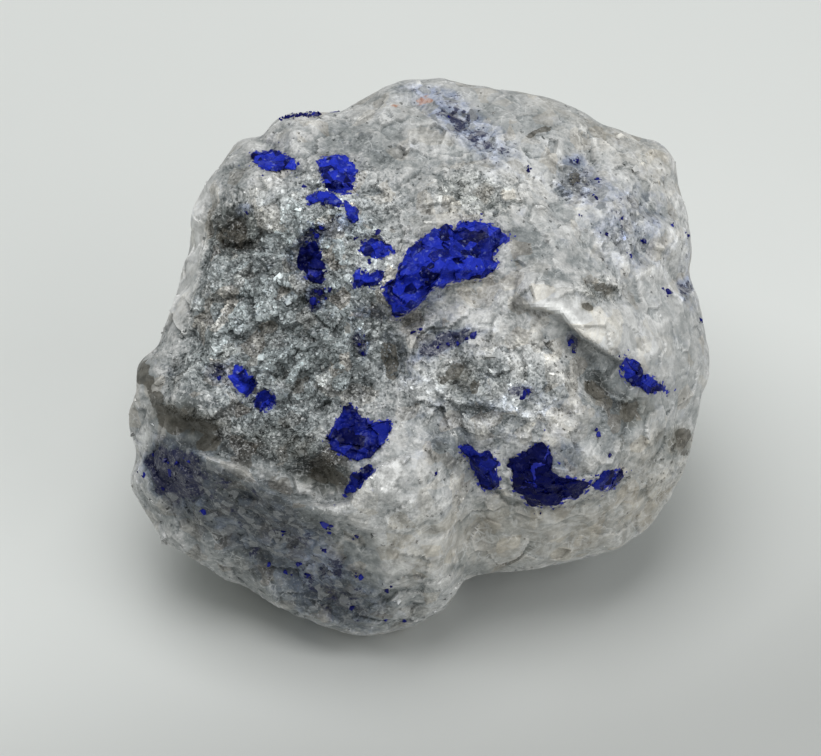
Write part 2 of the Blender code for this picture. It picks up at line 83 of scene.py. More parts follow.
# The same for the smoother foot at the lower left.
FOOT_PLANES = [
    (-18, -15.5, 20.6, 0.36, 0.66),
    (-3, -17.5, 22.6, 0.02, 0.50),
    (-20, -24, 16.5, 0.62, 0.95),
    (-6, -29, 17.2, -0.05, 1.25),
    (-1, -11.0, 22.6, 0.05, -0.55),
    (3.5, -22, 21.0, -1.30, 0.20),
    (-30, -12, 18.4, 0.75, 0.30),
]
FOOT_BLEND = 1.2
LEVEL_BLEND = 0.5
LEAST_DEPTH = 1.0

# Swellings and hollows: (u, v, radius along, radius across, turn in degrees, rise).
SWELLINGS = [
    (-28.8, -3.4, 5.5, 3.2, -8, 2.3),
    (-3.0, -21, 4.5, 5.5, 0, 1.4),
    (30, -0.5, 6.0, 6.0, 0, 1.2),
    (11.2, 21.2, 7.0, 2.0, -18, 1.0),
    (14, 8, 4.5, 3.0, 20, 0.9),
    (12.5, -3.5, 5.0, 3.5, 0, 1.5),
    (8.5, -8.5, 3.5, 2.5, 0, 1.0),
    (5.5, 12.5, 7.0, 3.6, 22, 1.0),
    (-19, 1, 6.0, 4.5, 10, 0.8),
    (-23.5, 15.4, 3.4, 2.8, 0, -3.2),
    (-18.5, 13.2, 6.5, 1.6, -12, -1.5),
    (-13.5, 10.8, 1.8, 3.6, 8, -1.3),
    (-3.4, -0.3, 1.9, 3.6, 8, -2.2),
    (-1.0, 4.4, 4.5, 1.4, 24, -1.4),
    (20.4, -1.2, 1.9, 4.6, 34, -2.3),
    (21.5, -4.8, 2.2, 1.8, 0, -1.6),
    (26, -7, 2.6, 2.0, 0, -1.1),
    (32, -10.6, 2.2, 1.8, 0, -1.2),
    (20.6, 5.9, 1.0, 0.7, 0, -0.9),
    (-12.8, -14.6, 4.4, 2.0, -14, -2.4),
    (-28.0, -9.2, 4.8, 1.4, -14, -1.8),
    (33, 9.4, 9.0, 2.0, 8, -1.4),
    (21.5, 25.5, 1.8, 7.5, -25, -1.4),
    (6.6, -23.5, 2.2, 6.0, 8, -1.8),
    (23.8, 3.4, 6.0, 2.6, -38, 1.0),
    (17.0, 1.4, 3.2, 2.6, 20, -0.9),
    (-12.6, -14.8, 3.4, 1.5, -8, -1.0),
]

# Ledges, higher on the left of the line as it is walked: (points, height, reach).
LEDGES = [
    ([(-34.2, -4.6), (-31.9, -6.4), (-29.4, -7.7), (-26.9, -7.9), (-24.8, -7.2),
      (-22.6, -5.4)], 3.6, 4.2),
    ([(2, -10.6), (-1.4, -12.2), (-4.8, -13.5), (-7, -15.4), (-8.8, -18.1), (-11.6, -18.5),
      (-15.6, -17.8), (-19.6, -15.8), (-21.4, -14.1), (-25.4, -12.6), (-29.4, -11.2),
      (-34, -9.7)], 2.8, 5.5),
    ([(11.4, 5.9), (15.0, 5.5), (17.2, 4.8), (18.0, 3.7), (19.8, 2.0), (22.6, 0.5),
      (25.6, -1.2)], 3.2, 5.5),
    ([(-4.6, 7.4), (-2.5, 8.9), (1.2, 9.8), (5.2, 10.4), (9.4, 9.8)], 1.2, 2.6),
    ([(-4.4, 3.4), (-3.0, 4.2), (-1.0, 5.4), (1.5, 8.0), (5.0, 9.0), (8.8, 9.6)], 1.8, 4.0),
    ([(-9.6, -6.4), (-8.6, -2.4), (-8.8, 1.6), (-8.0, 6.0)], 1.5, 3.5),
    ([(26.8, -13.6), (22.5, -17.1), (18.1, -18.6), (13.8, -18.9), (10.5, -17.5), (7.5, -14.7),
      (4.6, -11.2)], -1.2, 3.0),
    ([(-22.0, 26.6), (-24.2, 22.0), (-26.3, 17.5), (-25.8, 13.1), (-27.4, 9.6), (-29.4, 4.2),
      (-31.6, 0.2)], 1.4, 3.5),
    ([(1.0, -4.0), (4.6, -6.2), (9.0, -6.4), (13.5, -8.2), (17.5, -7.6)], 1.3, 3.0),
    ([(-26.0, 3.0), (-21.0, 4.6), (-16.0, 3.6), (-11.0, 5.4)], 0.9, 3.0),
]
LEDGE_WIDTH = 0.18
LEDGE_SHARPENING = 1.2
LEDGE_TAPER = 2.6

# Parts of the face with less roughness: (u, v, radius along, radius across, turn, share taken off).
SMOOTH_PARTS = [
    (29.5, -1, 6, 9, 0, 0.6),
    (14, -22.5, 20, 4, 8, 0.4),
    (4, 29, 18, 7, 0, 0.35),
    (19, 3.5, 5, 3.5, -40, 0.6),
    (22, 21, 14, 9, -20, 0.35),
]

# Fracture planes of the hidden side: (way along u, along v and backwards, distance from the middle).
BACK_PLANES = [
    (0.08, 0.22, 0.97, 27.5),
    (-0.30, 0.66, 0.69, 31.0),
    (0.46, 0.62, 0.64, 33.0),
    (-0.78, 0.22, 0.58, 32.0),
    (0.72, 0.10, 0.69, 32.0),
    (-0.52, -0.36, 0.77, 29.5),
    (0.50, -0.50, 0.71, 31.0),
    (0.02, 0.90, 0.43, 33.0),
    (-0.86, -0.34, 0.38, 34.5),
    (0.88, -0.22, 0.42, 34.5),
]
BACK_BLEND = 0.9
# Swells of the surface, and broad lumps on the hidden side: (size, height).
ROUGHNESS = [(9.0, 1.7), (4.4, 0.95), (2.1, 0.4)]
BACK_LUMPS = (14.0, 3.0)

# Broken facets of the finished surface: (size, how far they tilt, how far they step).
FRACTURE = (3.4, 0.34, 0.17)
SUGAR_FACETS = (1.0, 0.38, 0.16)
# Creases between crumbling lumps: (size, depth).
CREASES = [(5.2, 0.85), (2.4, 0.25)]
CREASE_SHARPNESS = 3
CREASE_LEVEL = 0.6
# Share of the fracture facets that shows everywhere, more where the marble crumbles, and more behind.
FRACTURE_SHARES = (0.15, 0.85, 0.4)
LEAST_CRUMBLY = 0.12
HIDDEN_REACH = 8
# Shares of the swells and of the facets that are left at the rim, so that the outline holds.
RIM_SWELLS = 0.15
RIM_FACETS = 0.25
# How far the finished surface may pass the outline.
RIM_ROOM = 0.15
# The starting ball: its levels of subdivision, and the height above which it is finer.
BALL_LEVELS = 7
FINE_BALL_HEIGHT = 0.12
# Factors that turn a cell's place into four random numbers.
CELL_HASH = np.array([
    [127.1, 269.5, 419.2, 371.9],
    [311.7, 183.3, 371.9, 73.1],
    [74.7, 246.1, 53.3, 191.7],
])
HASH_STRETCH = 43758.5453

# ---------------------------------------------------------------- the lazurite grains

# (rim points on the face, how far the grain stands proud, how light its blue is)
GRAINS = {
    "lazurite_centre": ([
        (-4.6, 8.4), (-2.9, 9.4), (-2.4, 11.1), (-1.0, 13.4), (1.8, 15.2), (3.3, 16.0), (4.1, 15.2),
        (5.1, 16.3), (7.2, 16.4), (9.0, 15.9), (11.0, 14.6), (9.4, 13.1), (8.8, 12.2), (9.6, 11.2),
        (8.2, 9.8), (5.2, 9.3), (3.7, 8.9), (1.5, 8.2), (0.5, 6.8), (-1.2, 5.3), (-3.1, 4.5),
        (-3.7, 6.3),
    ], 0.7, 0.86),
    "lazurite_round": ([
        (-12.5, 24.1), (-11.2, 24.5), (-9.8, 24.7), (-8.6, 23.9), (-8.0, 22.6), (-8.2, 21.1),
        (-8.6, 20.1), (-9.8, 19.8), (-11.1, 20.1), (-11.9, 21.4),
    ], 0.35, 1.0),
    "lazurite_upper_left": ([
        (-21.1, 25.0), (-19.6, 25.2), (-18.0, 25.2), (-16.6, 24.6), (-15.2, 23.6), (-15.5, 22.9),
        (-16.4, 23.1), (-17.6, 22.9), (-19.6, 23.2), (-20.7, 24.0),
    ], 0.3, 1.0),
    "lazurite_band": ([
        (-14.0, 19.4), (-13.0, 20.0), (-11.8, 20.2), (-10.6, 19.7), (-9.7, 18.9), (-10.0, 18.4),
        (-11.4, 18.7), (-12.6, 18.9), (-13.7, 18.5),
    ], 0.25, 0.9),
    "lazurite_fleck_north": ([
        (-9.3, 18.9), (-8.4, 18.2), (-7.8, 16.6), (-8.4, 16.5), (-9.2, 17.7),
    ], 0.2, 0.8),
    # Very dark blue, partly painted shade for the hollow the vein lies in.
    "lazurite_dark_vein": ([
        (-14.1, 13.7), (-13.0, 14.1), (-12.4, 13.0), (-12.0, 11.5), (-11.8, 10.0), (-12.0, 9.0),
        (-13.8, 9.2), (-14.6, 10.8), (-15.0, 12.3),
    ], 0.3, 0.12),
    "lazurite_west_upper": ([
        (-7.6, 13.1), (-6.7, 14.0), (-5.6, 14.3), (-4.4, 13.6), (-3.4, 13.3), (-3.3, 12.6),
        (-4.2, 12.1), (-5.2, 12.0), (-6.6, 12.3),
    ], 0.3, 0.85),
    "lazurite_west_lower": ([
        (-8.2, 8.5), (-8.0, 10.0), (-7.5, 10.5), (-6.2, 9.8), (-5.1, 10.5), (-4.5, 10.2), (-4.6, 9.4),
        (-5.6, 8.4), (-6.9, 8.7),
    ], 0.3, 0.9),
    "lazurite_left": ([
        (-22.8, -1.4), (-21.7, -1.7), (-21.2, -2.6), (-20.2, -3.2), (-20.4, -4.2), (-21.2, -5.1),
        (-22.2, -4.6), (-23.0, -3.7), (-23.4, -2.6),
    ], 0.35, 1.1),
    "lazurite_left_lower": ([
        (-20.4, -6.4), (-20.2, -5.1), (-19.0, -4.5), (-17.9, -5.0), (-18.2, -6.2), (-19.3, -6.9),
    ], 0.2, 0.8),
    "lazurite_star": ([
        (-11.8, -10.6), (-10.8, -9.2), (-10.0, -7.8), (-8.6, -6.1), (-7.8, -6.8), (-7.3, -7.9),
        (-6.0, -8.4), (-4.8, -8.2), (-3.6, -8.1), (-3.9, -9.6), (-4.9, -11.4), (-6.2, -12.6),
        (-8.2, -12.9), (-10.0, -12.0),
    ], 0.5, 0.42),
    "lazurite_star_tail": ([
        (-9.2, -17.2), (-8.7, -15.8), (-7.5, -14.5), (-6.1, -13.7), (-5.8, -14.2), (-6.9, -15.4),
        (-8.1, -16.7),
    ], 0.25, 0.55),
    "lazurite_right": ([
        (24.8, -1.4), (25.2, -0.2), (25.8, -0.6), (26.5, -2.0), (27.6, -2.4), (28.8, -3.0),
        (29.8, -3.5), (30.7, -4.5), (29.8, -4.4), (28.6, -4.7), (27.4, -4.0), (25.9, -3.4),
        (25.1, -2.6),
    ], 0.5, 0.6),
    "lazurite_keel": ([
        (10.8, -12.9), (12.4, -12.5), (13.5, -11.5), (14.8, -10.8), (15.9, -11.4), (16.3, -12.5),
        (16.0, -14.4), (17.2, -15.2), (19.8, -15.5), (21.0, -15.9), (20.4, -16.8), (18.8, -17.8),
        (17.2, -18.6), (15.5, -18.7), (13.5, -18.5), (12.6, -17.4), (11.6, -16.6), (11.5, -14.8),
    ], 0.6, 0.07),
    "lazurite_keel_left": ([
        (4.8, -11.5), (6.0, -11.0), (7.0, -12.2), (8.6, -12.3), (9.6, -13.2), (9.4, -14.2),
        (9.8, -16.2), (8.2, -16.9), (7.4, -15.9), (6.8, -14.4), (6.2, -12.9),
    ], 0.35, 0.38),
    "lazurite_keel_right": ([
        (21.4, -15.9), (22.1, -15.2), (23.4, -14.5), (25.0, -14.1), (24.8, -15.4), (23.8, -16.5),
        (22.8, -16.9), (21.8, -16.6),
    ], 0.4, 0.45),
}
FACE_WAY = (0, 0, 1)
# The grain behind the upper left rim faces another way, and its points lie square to that way.
RIM_GRAIN_WAY = (-0.36, 0.87, -0.32)
RIM_GRAIN = ([(-2.9, 0.7), (-1.2, 1.4), (1.0, 1.3), (2.6, 0.5), (2.2, -1.0), (0.2, -1.7),
              (-2.0, -1.2)], 0.4, 0.5)
# How a grain's edge is frayed: (size, reach, shift of the noise).
FRAYS = [(1.1, 0.45, 0.0), (0.5, 0.28, 9.0)]
# Facets of a grain's crown: (shift, then size, tilt and step).
CROWN_FACETS = [(0.0, (2.1, 0.28, 0.04)), (31.0, (0.8, 0.11, 0.04))]
# How far a grain reaches into the marble, and how its crown rises by how far it stands proud.
GRAIN_ROOT = 1.2
CROWN_SHARE = 0.4
LEAST_CROWN = 0.15
# Grains with more points than this get a finer mesh.
SMALL_GRAIN_POINTS = 12
# Rays that look for the surface start this far out.
RAY_START = 100

# Flecks of lazurite too small to be grains of their own: (u, v, radius).
FLECKS = [
    (13.5, 23.0, 0.55), (22.1, 21.8, 0.65), (21.8, 19.5, 0.4), (30.9, 7.8, 0.8), (26.1, 12.3, 0.45),
    (27.8, 14.1, 0.5), (23.1, 14.8, 0.5), (25.0, 16.9, 0.45), (35.1, 4.3, 0.5), (33.3, 14.9, 0.4),
    (-0.8, 2.6, 0.4), (23.5, -12.5, 0.4), (-34.4, -15.0, 0.5), (-26.9, -19.5, 0.5), (-16.9, -21.9, 0.5),
    (-18.9, -25.9, 0.5), (-16.6, -26.9, 0.6), (-13.9, -27.3, 0.5), (-15.1, -26.0, 0.5), (-11.8, -24.1, 0.4),
    (-7.6, -27.4, 0.6), (-4.0, -29.1, 0.5), (-8.5, -31.3, 0.5), (-4.4, -32.9, 0.4), (-1.9, -33.1, 0.4),
    (22.0, -9.8, 0.6), (-6.2, 11.6, 0.5), (-5.2, 15.1, 0.5), (-14.4, 20.8, 0.5), (-11.2, 8.0, 0.6),
    (-13.1, 6.5, 0.75), (-12.2, 15.9, 0.5), (-13.4, 15.4, 0.5), (-8.0, 14.3, 0.5), (-7.2, 13.8, 0.4),
    (-11.8, -20.9, 0.75), (-11.0, -21.2, 0.5), (6.6, 2.4, 0.55), (5.7, 2.0, 0.45), (4.6, 1.4, 0.4),
    (3.4, 1.3, 0.35), (2.2, 0.9, 0.35), (12.6, -4.9, 0.7), (13.3, -4.7, 0.55), (18.5, 1.5, 0.6),
    (18.9, 0.4, 0.35), (0.1, 3.1, 0.35), (-7.4, 1.3, 0.5), (-7.0, 0.2, 0.4), (-6.9, 2.4, 0.35),
    (-12.8, 14.7, 0.5), (-13.3, 16.2, 0.35), (-12.1, 7.8, 0.75), (-12.8, 6.4, 0.45), (-11.6, 6.9, 0.35),
    (-21.4, 17.6, 0.35), (-30.9, -14.6, 0.6), (-31.4, -13.2, 0.6), (-30.2, -13.6, 0.45), (-33.0, -12.4, 0.4),
    (-28.6, -13.2, 0.35), (-31.9, -16.6, 0.4), (-7.9, -22.4, 0.4), (1.9, -14.6, 0.3), (3.6, 29.6, 0.3),
    (-17.3, 29.4, 0.4), (-16.8, 29.55, 0.45), (-16.3, 29.65, 0.45), (-15.8, 29.7, 0.45), (-15.3, 29.75, 0.45),
    (-14.8, 29.8, 0.45), (-14.3, 29.8, 0.45), (-13.8, 29.85, 0.45), (-13.3, 29.9, 0.5), (-12.9, 29.95, 0.55),
    (-12.5, 29.95, 0.55), (19.5, 24.0, 0.4), (31.4, 16.1, 0.3), (19.8, 17.2, 0.3), (-24.8, -2.9, 0.45),
]

FLECK_SEED = 7
# Sizes of the chips in a fleck, as shares of it, then how each chip is cut and shaded.
FLECK_CHIPS = (0.9, 0.45, 0.3)
CHIP_CORNERS = 12
CHIP_STRETCH = (0.7, 1.15)
CHIP_SHADES = (0.0, 0.55)

# Loose grains on the marble: (piece, the attribute that says where they lie, most of them on a square
# metre, smallest and largest, seed of the grain's shape, seed of their places).
LOOSE_GRAINS = [
    ("calcite_sugar", "crumbs", 6e6, 0.16, 0.40, 11, 11),
    ("calcite_crumbs", "crumbs", 6e6, 0.16, 0.45, 23, 23),
    ("calcite_splinters", "crumbs", 0.9e6, 0.40, 0.85, 37, 37),
    ("lazurite_chips", "fringe", 1.2e6, 0.10, 0.36, 5, 31),
]
# A grain starts as a unit cube with its corners moved this far. How deep the grains sit, as a share of
# their size, how much rarer large ones are, and how slim or stout they are.
CORNER_SHIFT = 0.28
SUNK = 0.3
SMALLER_MORE_OFTEN = 2.2
SLIMMEST, STOUTEST = (0.45, 0.6, 0.8), (0.9, 1.0, 1.35)

# ---------------------------------------------------------------- qualities of the face

# Each is a plain level and patches of (u, v, radius along, radius across, turn in degrees, amount).
# Brightness of the marble, from clear dark calcite to milky white, with painted shade and a painted highlight
# in the patches marked below.
TONE_AND_SHADE = (0.43, [
    (-16.2, 4.4, 13.5, 9.5, 0, -0.105),
    (-26.0, 5.6, 4.5, 2.2, 0, 0.08),
    (-20.0, 4.4, 4.0, 2.5, 0, 0.10),
    (-28.6, -6.4, 4.0, 0.6, -4, 0.08),
    (-14.2, -2.4, 3.4, 2.0, 0, 0.10),
    (-20.0, -4.8, 2.0, 1.2, 0, 0.08),
    (-18.1, -10.6, 9.0, 3.4, -14, -0.26),
    (-20.5, -12.0, 5.5, 1.6, -18, -0.10),
    (-13.4, 4.6, 1.8, 4.2, 0, -0.14),
    (-10.2, 2.4, 1.4, 3.0, 0, -0.05),
    (-7.2, 9.6, 4.2, 2.6, 0, 0.10),
    (-16.2, 7.8, 2.0, 1.4, 0, 0.10),
    (-7.4, -1.4, 2.0, 1.2, 0, -0.08),
    # Darker in the pit: partly the calcite's own dark colour, partly painted shade.
    (-23.5, 15.6, 3.6, 3.0, 0, -0.30),
    (-23.0, 13.2, 2.4, 1.6, 0, -0.10),
    (-22.9, 21.9, 1.8, 2.2, 0, -0.10),
    (-23.5, 20.5, 3.0, 4.6, -10, -0.05),
    (-28.0, -4.6, 4.0, 2.6, 0, -0.06),
    (-26.0, 8.6, 2.0, 4.0, 0, -0.05),
    (-16.9, 10.9, 5.0, 1.1, -25, -0.12),
    (-11.2, 17.5, 7.5, 5.5, 0, 0.04),
    (-6.9, 8.1, 2.8, 5.0, 0, 0.14),
    (-2.5, 20.6, 4.5, 4.5, 0, -0.06),
    (-10.6, 26.9, 3.2, 1.8, 0, -0.10),
    (-8.8, 25.4, 6.0, 3.0, 0, -0.05),
    (-12.5, 30.0, 7.5, 1.6, 0, 0.08),
    (1.2, 32.7, 6.0, 1.2, 0, 0.01),
    (13.7, 28.7, 7.0, 2.5, -18, -0.09),
    (5.6, 28.4, 5.0, 2.4, -30, -0.03),
    (-4.4, 25.6, 5.0, 2.8, 0, -0.10),
    (12.5, 21.9, 7.0, 1.8, -20, 0.11),
    (11.8, 0.8, 2.4, 1.6, 0, 0.10),
    (27.5, 11.2, 8.0, 2.2, -35, 0.10),
    (6.9, 20.6, 5.5, 3.5, 0, -0.05),
    (12.8, 13.4, 2.0, 2.8, 0, -0.20),
    (18.0, 11.5, 4.4, 3.4, -20, -0.04),
    (10.0, -9.5, 2.6, 1.2, 0, -0.07),
    (19.0, 21.0, 1.9, 1.6, 0, -0.18),
    (25.6, 15.0, 3.2, 3.2, 0, -0.04),
    (22.5, 8.1, 2.4, 1.5, 0, -0.14),
    (32.5, 17.0, 2.0, 8.0, 0, 0.08),
    (26.5, 2.6, 6.0, 3.0, -20, 0.12),
    # Painted shade in the hollow under the ridge.
    (20.3, -1.2, 1.7, 3.8, 34, -0.18),
    # Painted highlight along the ridge's lip, here and in the next patch.
    (16.9, 5.2, 2.8, 0.8, -24, 0.24),
    (20.6, 3.0, 3.2, 0.6, -40, 0.10),
    (24.2, -6.2, 4.2, 4.4, 0, -0.24),
    (31.4, -11.0, 2.6, 2.4, 0, -0.18),
    (8.0, -5.0, 12.0, 7.0, 0, -0.025),
    (30.0, -0.5, 5.0, 6.0, 0, -0.03),
    (-23.0, -6.6, 2.0, 1.4, 0, -0.08),
    (-13.0, -7.5, 2.4, 2.0, 0, -0.09),
    (8.5, -6.0, 2.6, 1.6, 0, -0.09),
    (25.0, -12.8, 2.8, 1.2, 0, -0.09),
    (24.5, -7.5, 3.2, 3.0, 0, -0.07),
    (-26.5, -5.2, 2.2, 1.0, 0, -0.07),
    (-25.3, 12.0, 1.2, 1.2, 0, -0.14),
    (-20.5, 13.2, 2.2, 0.8, 0, -0.09),
    (5.6, 30.2, 2.2, 0.9, -20, 0.11),
    (-22.4, -22.8, 1.8, 1.2, -30, 0.06),
    (-12.5, -27.5, 1.8, 1.6, 0, 0.06),
    (11.2, -2.5, 7.0, 4.5, 0, 0.03),
    (13.8, -7.8, 4.0, 1.2, 0, 0.18),
    (16.1, -1.2, 2.6, 0.9, -58, 0.24),
    (13.4, 0.7, 1.5, 1.0, 0, 0.16),
    (17.6, -9.2, 2.2, 0.7, -35, 0.18),
    (8.3, 3.6, 2.2, 1.0, 20, 0.12),
    (12.0, -7.2, 2.0, 0.8, -15, 0.10),
    (-2.6, -8.9, 2.0, 1.0, 10, 0.10),
    (4.3, -3.6, 0.9, 0.5, 30, -0.24),
    (6.6, -7.5, 0.9, 0.6, 0, -0.24),
    (11.6, 5.8, 0.7, 0.5, 0, -0.24),
    (15.3, 2.1, 0.6, 0.4, 0, -0.20),
    (9.2, -1.0, 1.2, 0.4, -40, -0.18),
    (15.6, -4.6, 1.8, 0.4, -20, -0.18),
    (17.8, -13.0, 2.2, 2.0, 0, -0.25),
    (4.8, -2.1, 2.8, 2.5, 0, -0.16),
    (6.2, -6.2, 1.8, 1.0, 0, -0.16),
    (2.4, 2.0, 3.0, 1.5, 10, -0.20),
    (-3.5, -0.4, 1.8, 3.5, 0, -0.16),
    (1.2, -3.8, 3.0, 2.4, 0, 0.12),
    (0.0, -8.1, 3.0, 2.4, 0, -0.08),
    (3.4, -11.6, 2.4, 2.6, 0, -0.26),
    (-6.2, 5.2, 3.2, 1.5, 0, -0.27),
    (0.5, 2.6, 3.2, 1.3, 10, -0.10),
    (-4.0, -7.0, 1.6, 1.6, 0, -0.08),
    (-1.5, 0.6, 1.3, 0.9, 0, -0.12),
    (-8.8, -3.4, 2.8, 1.8, 0, -0.10),
    (-1.5, -20.6, 5.0, 7.5, 0, 0.05),
    # Painted shade along the lower edge of the underside.
    (7.5, -26.6, 5.5, 0.9, 4, -0.14),
    (-19.4, -22.0, 19.0, 6.4, -36, -0.345),
    (-30.5, -13.8, 3.8, 3.6, 0, -0.28),
    (-31.0, -14.0, 2.8, 2.8, 0, -0.20),
    (-23.2, -21.8, 2.8, 1.4, -30, 0.17),
    (-12.6, -25.0, 3.0, 3.2, 0, 0.17),
    (-17.0, -25.0, 6.0, 3.0, -36, 0.035),
    (-12.0, -20.2, 2.4, 1.4, -20, -0.10),
    (-9.0, -31.5, 7.0, 2.6, -10, -0.07),
    (-35.0, -12.4, 1.9, 3.4, 0, 0.36),
    (-34.9, -19.0, 1.3, 3.4, 0, 0.04),
    # Darker in the crevice below the star grain: partly iron stain, partly painted shade.
    (-11.6, -13.9, 3.6, 2.7, 16, -0.25),
    # Painted shade under the lower edge of the nose lip.
    (-26.8, -6.4, 3.4, 0.9, -6, -0.18),
    (-26.0, -14.0, 3.0, 1.4, -10, -0.06),
    # Darker under the nose lip: partly the glassy brown calcite, partly painted shade.
    (-30.0, -7.5, 3.5, 1.8, -12, -0.30),
    (-34.1, -2.5, 0.9, 2.5, 0, -0.22),
    (-31.0, -3.4, 3.0, 2.2, 0, -0.08),
    (-21.2, -14.5, 10.5, 0.6, -20, 0.17),
    (-5.6, -14.4, 3.2, 1.0, 30, 0.14),
    (-27.4, 16.4, 1.9, 4.8, -8, 0.26),
    (-30.2, 7.0, 1.5, 5.6, -12, 0.15),
])
# Lazurite dust in the marble.
BLUE = (0.02, [
    (-19.4, -22.3, 17.0, 5.0, -36, 0.62),
    (-30.0, -14.8, 4.4, 3.6, -36, 1.1),
    (-30.9, -14.0, 2.3, 2.4, 20, 1.9),
    (-29.0, -12.6, 1.4, 0.8, -20, 0.4),
    (-12.5, -24.0, 5.0, 2.4, -30, 0.35),
    (-10.0, -30.0, 7.0, 3.6, -15, 0.30),
    (5.6, 28.7, 7.5, 2.4, -38, 0.95),
    (10.0, -8.0, 12.0, 6.0, 0, 0.26),
    (1.5, 1.0, 7.0, 4.0, 10, 0.35),
    (-1.2, 32.5, 3.0, 1.2, 0, 0.35),
    (25.6, 16.0, 5.4, 6.2, 20, 0.55),
    (19.6, 21.2, 3.4, 2.6, 0, 0.7),
    (19.4, 24.2, 1.4, 1.0, 0, 0.9),
    (33.2, 8.6, 1.2, 1.4, 0, 0.9),
    (34.0, 10.0, 1.5, 5.0, 0, 0.35),
    (3.8, 1.7, 3.8, 0.9, 22, 1.6),
    (-7.1, 0.9, 0.9, 2.0, 10, 1.7),
    (-6.0, 5.0, 2.6, 0.8, 0, 0.7),
    (18.7, 1.1, 0.6, 1.5, 15, 1.6),
    (12.9, -4.6, 1.3, 0.7, 0, 1.8),
    (-23.1, -2.9, 2.6, 1.8, 0, 0.5),
    (-19.0, -5.6, 1.8, 1.4, 0, 0.7),
    (-13.0, 15.0, 1.3, 2.0, 0, 1.5),
    (-12.8, 7.0, 1.5, 1.3, 0, 1.5),
    (-14.4, 11.5, 1.6, 3.0, 0, 0.7),
    (-22.2, 17.9, 0.9, 0.9, 0, 0.8),
    (-7.5, -11.9, 2.0, 2.0, 0, 0.5),
    (17.0, -13.0, 3.0, 2.2, 0, 0.4),
    (-25.2, -2.6, 1.6, 1.2, 0, 0.9),
    (1.6, 0.8, 2.4, 1.2, 15, 0.8),
    (-10.0, 16.2, 2.4, 1.6, 0, 0.7),
    (1.4, 6.6, 1.6, 0.9, 30, 0.9),
])
# Iron stain.
BROWN = (0.03, [
    (-23.5, 15.4, 3.8, 3.2, 0, 0.5),
    (-29.0, -7.9, 4.0, 1.8, -12, 0.8),
    (-12.2, -14.9, 3.2, 2.0, 0, 0.6),
    (-17.0, -11.0, 6.0, 2.4, -16, 0.4),
    (7.0, 19.5, 5.5, 3.0, 0, 0.4),
    (5.0, 8.0, 5.0, 2.0, 20, 0.35),
    (4.8, -2.1, 2.8, 2.5, 0, 0.5),
    (21.5, -4.6, 2.0, 1.5, 0, 0.6),
    (26.5, -6.9, 2.5, 1.8, 0, 0.6),
    (32.2, -10.6, 2.2, 1.8, 0, 0.8),
    (20.6, 5.9, 0.8, 0.6, 0, 1.2),
    (22.5, 8.1, 2.4, 1.5, 0, 0.5),
    (14.0, -22.0, 18.0, 5.0, 8, 0.6),
    (29.0, -15.0, 5.0, 5.0, -35, 0.45),
    (25.0, 27.0, 5.5, 2.6, -30, 0.38),
    (17.0, 31.0, 5.0, 2.0, -25, 0.35),
    (30.0, 23.0, 3.4, 4.0, 0, 0.30),
])
# Glassy grey-brown calcite.
CLEAR = (0.0, [
    (-34.3, -2.3, 0.8, 2.3, 6, 1.2),
    (-30.4, -8.2, 2.5, 1.9, -15, 1.2),
    (-26.0, -10.8, 1.7, 1.2, -30, 1.1),
    (-33.0, -5.6, 0.9, 1.3, 30, 1.0),
    (-27.2, -8.6, 2.4, 0.7, 0, 0.9),
    (21.3, -4.4, 1.6, 0.9, -10, 1.0),
    (25.8, -6.8, 1.6, 1.1, 35, 0.9),
    (23.4, -5.6, 0.9, 0.7, 0, 0.8),
    (4.6, -2.2, 1.5, 1.0, 30, 0.9),
    (7.0, -3.6, 1.0, 0.6, 50, 0.8),
    (2.6, -3.3, 0.8, 0.6, 0, 0.8),
    (20.6, 5.9, 0.8, 0.5, 0, 1.0),
    (-3.6, -0.6, 1.3, 2.8, 5, 0.9),
    (22.5, 8.2, 1.4, 0.8, 0, 0.75),
    (32.4, -10.4, 1.6, 1.1, 50, 0.9),
    (33.2, -12.4, 0.8, 0.8, 0, 0.8),
    (-11.6, -14.8, 2.4, 1.2, -10, 0.9),
    (-23.4, 14.6, 2.0, 1.4, -15, 0.8),
    (14.6, 27.4, 2.2, 0.6, 12, 0.7),
    (18.8, 21.8, 0.9, 1.1, 0, 0.7),
])
# Coarse broken grain, against rubbed and weathered skin.
SUGAR = (0.24, [
    (-16.0, 5.0, 14.0, 15.0, 0, 0.74),
    (-9.0, 18.0, 8.0, 6.0, 0, 0.30),
    (-18.0, -10.0, 9.0, 3.6, -16, 0.30),
    (-9.0, -3.5, 2.6, 4.0, 0, 0.10),
    (9.0, -4.0, 11.0, 6.0, 0, 0.38),
    (7.0, 20.0, 6.0, 3.5, 0, 0.40),
    (19.0, 21.2, 2.5, 2.0, 0, 0.30),
    (25.6, 15.0, 3.2, 3.2, 0, 0.20),
    (22.5, 8.1, 2.8, 1.8, 0, 0.30),
    (30.0, 0.0, 6.0, 9.0, 0, -0.20),
    (19.0, 3.5, 5.5, 2.6, -36, -0.30),
    (14.0, -22.5, 20.0, 4.0, 8, -0.18),
    (8.0, 31.0, 14.0, 3.0, 0, -0.10),
    (-29.4, -9.4, 3.2, 1.5, -14, -0.60),
    (-28.4, -2.6, 4.4, 2.4, 0, 0.20),
    (-28.8, 11.5, 1.8, 9.5, -12, -0.60),
    (-34.2, -2.5, 1.2, 2.6, 6, -0.50),
])
# Orange rust spots.
RUST = (0.0, [
    (0.2, 31.8, 1.1, 0.6, 0, 1.0),
    (-2.6, 31.0, 0.6, 0.4, 0, 0.6),
])
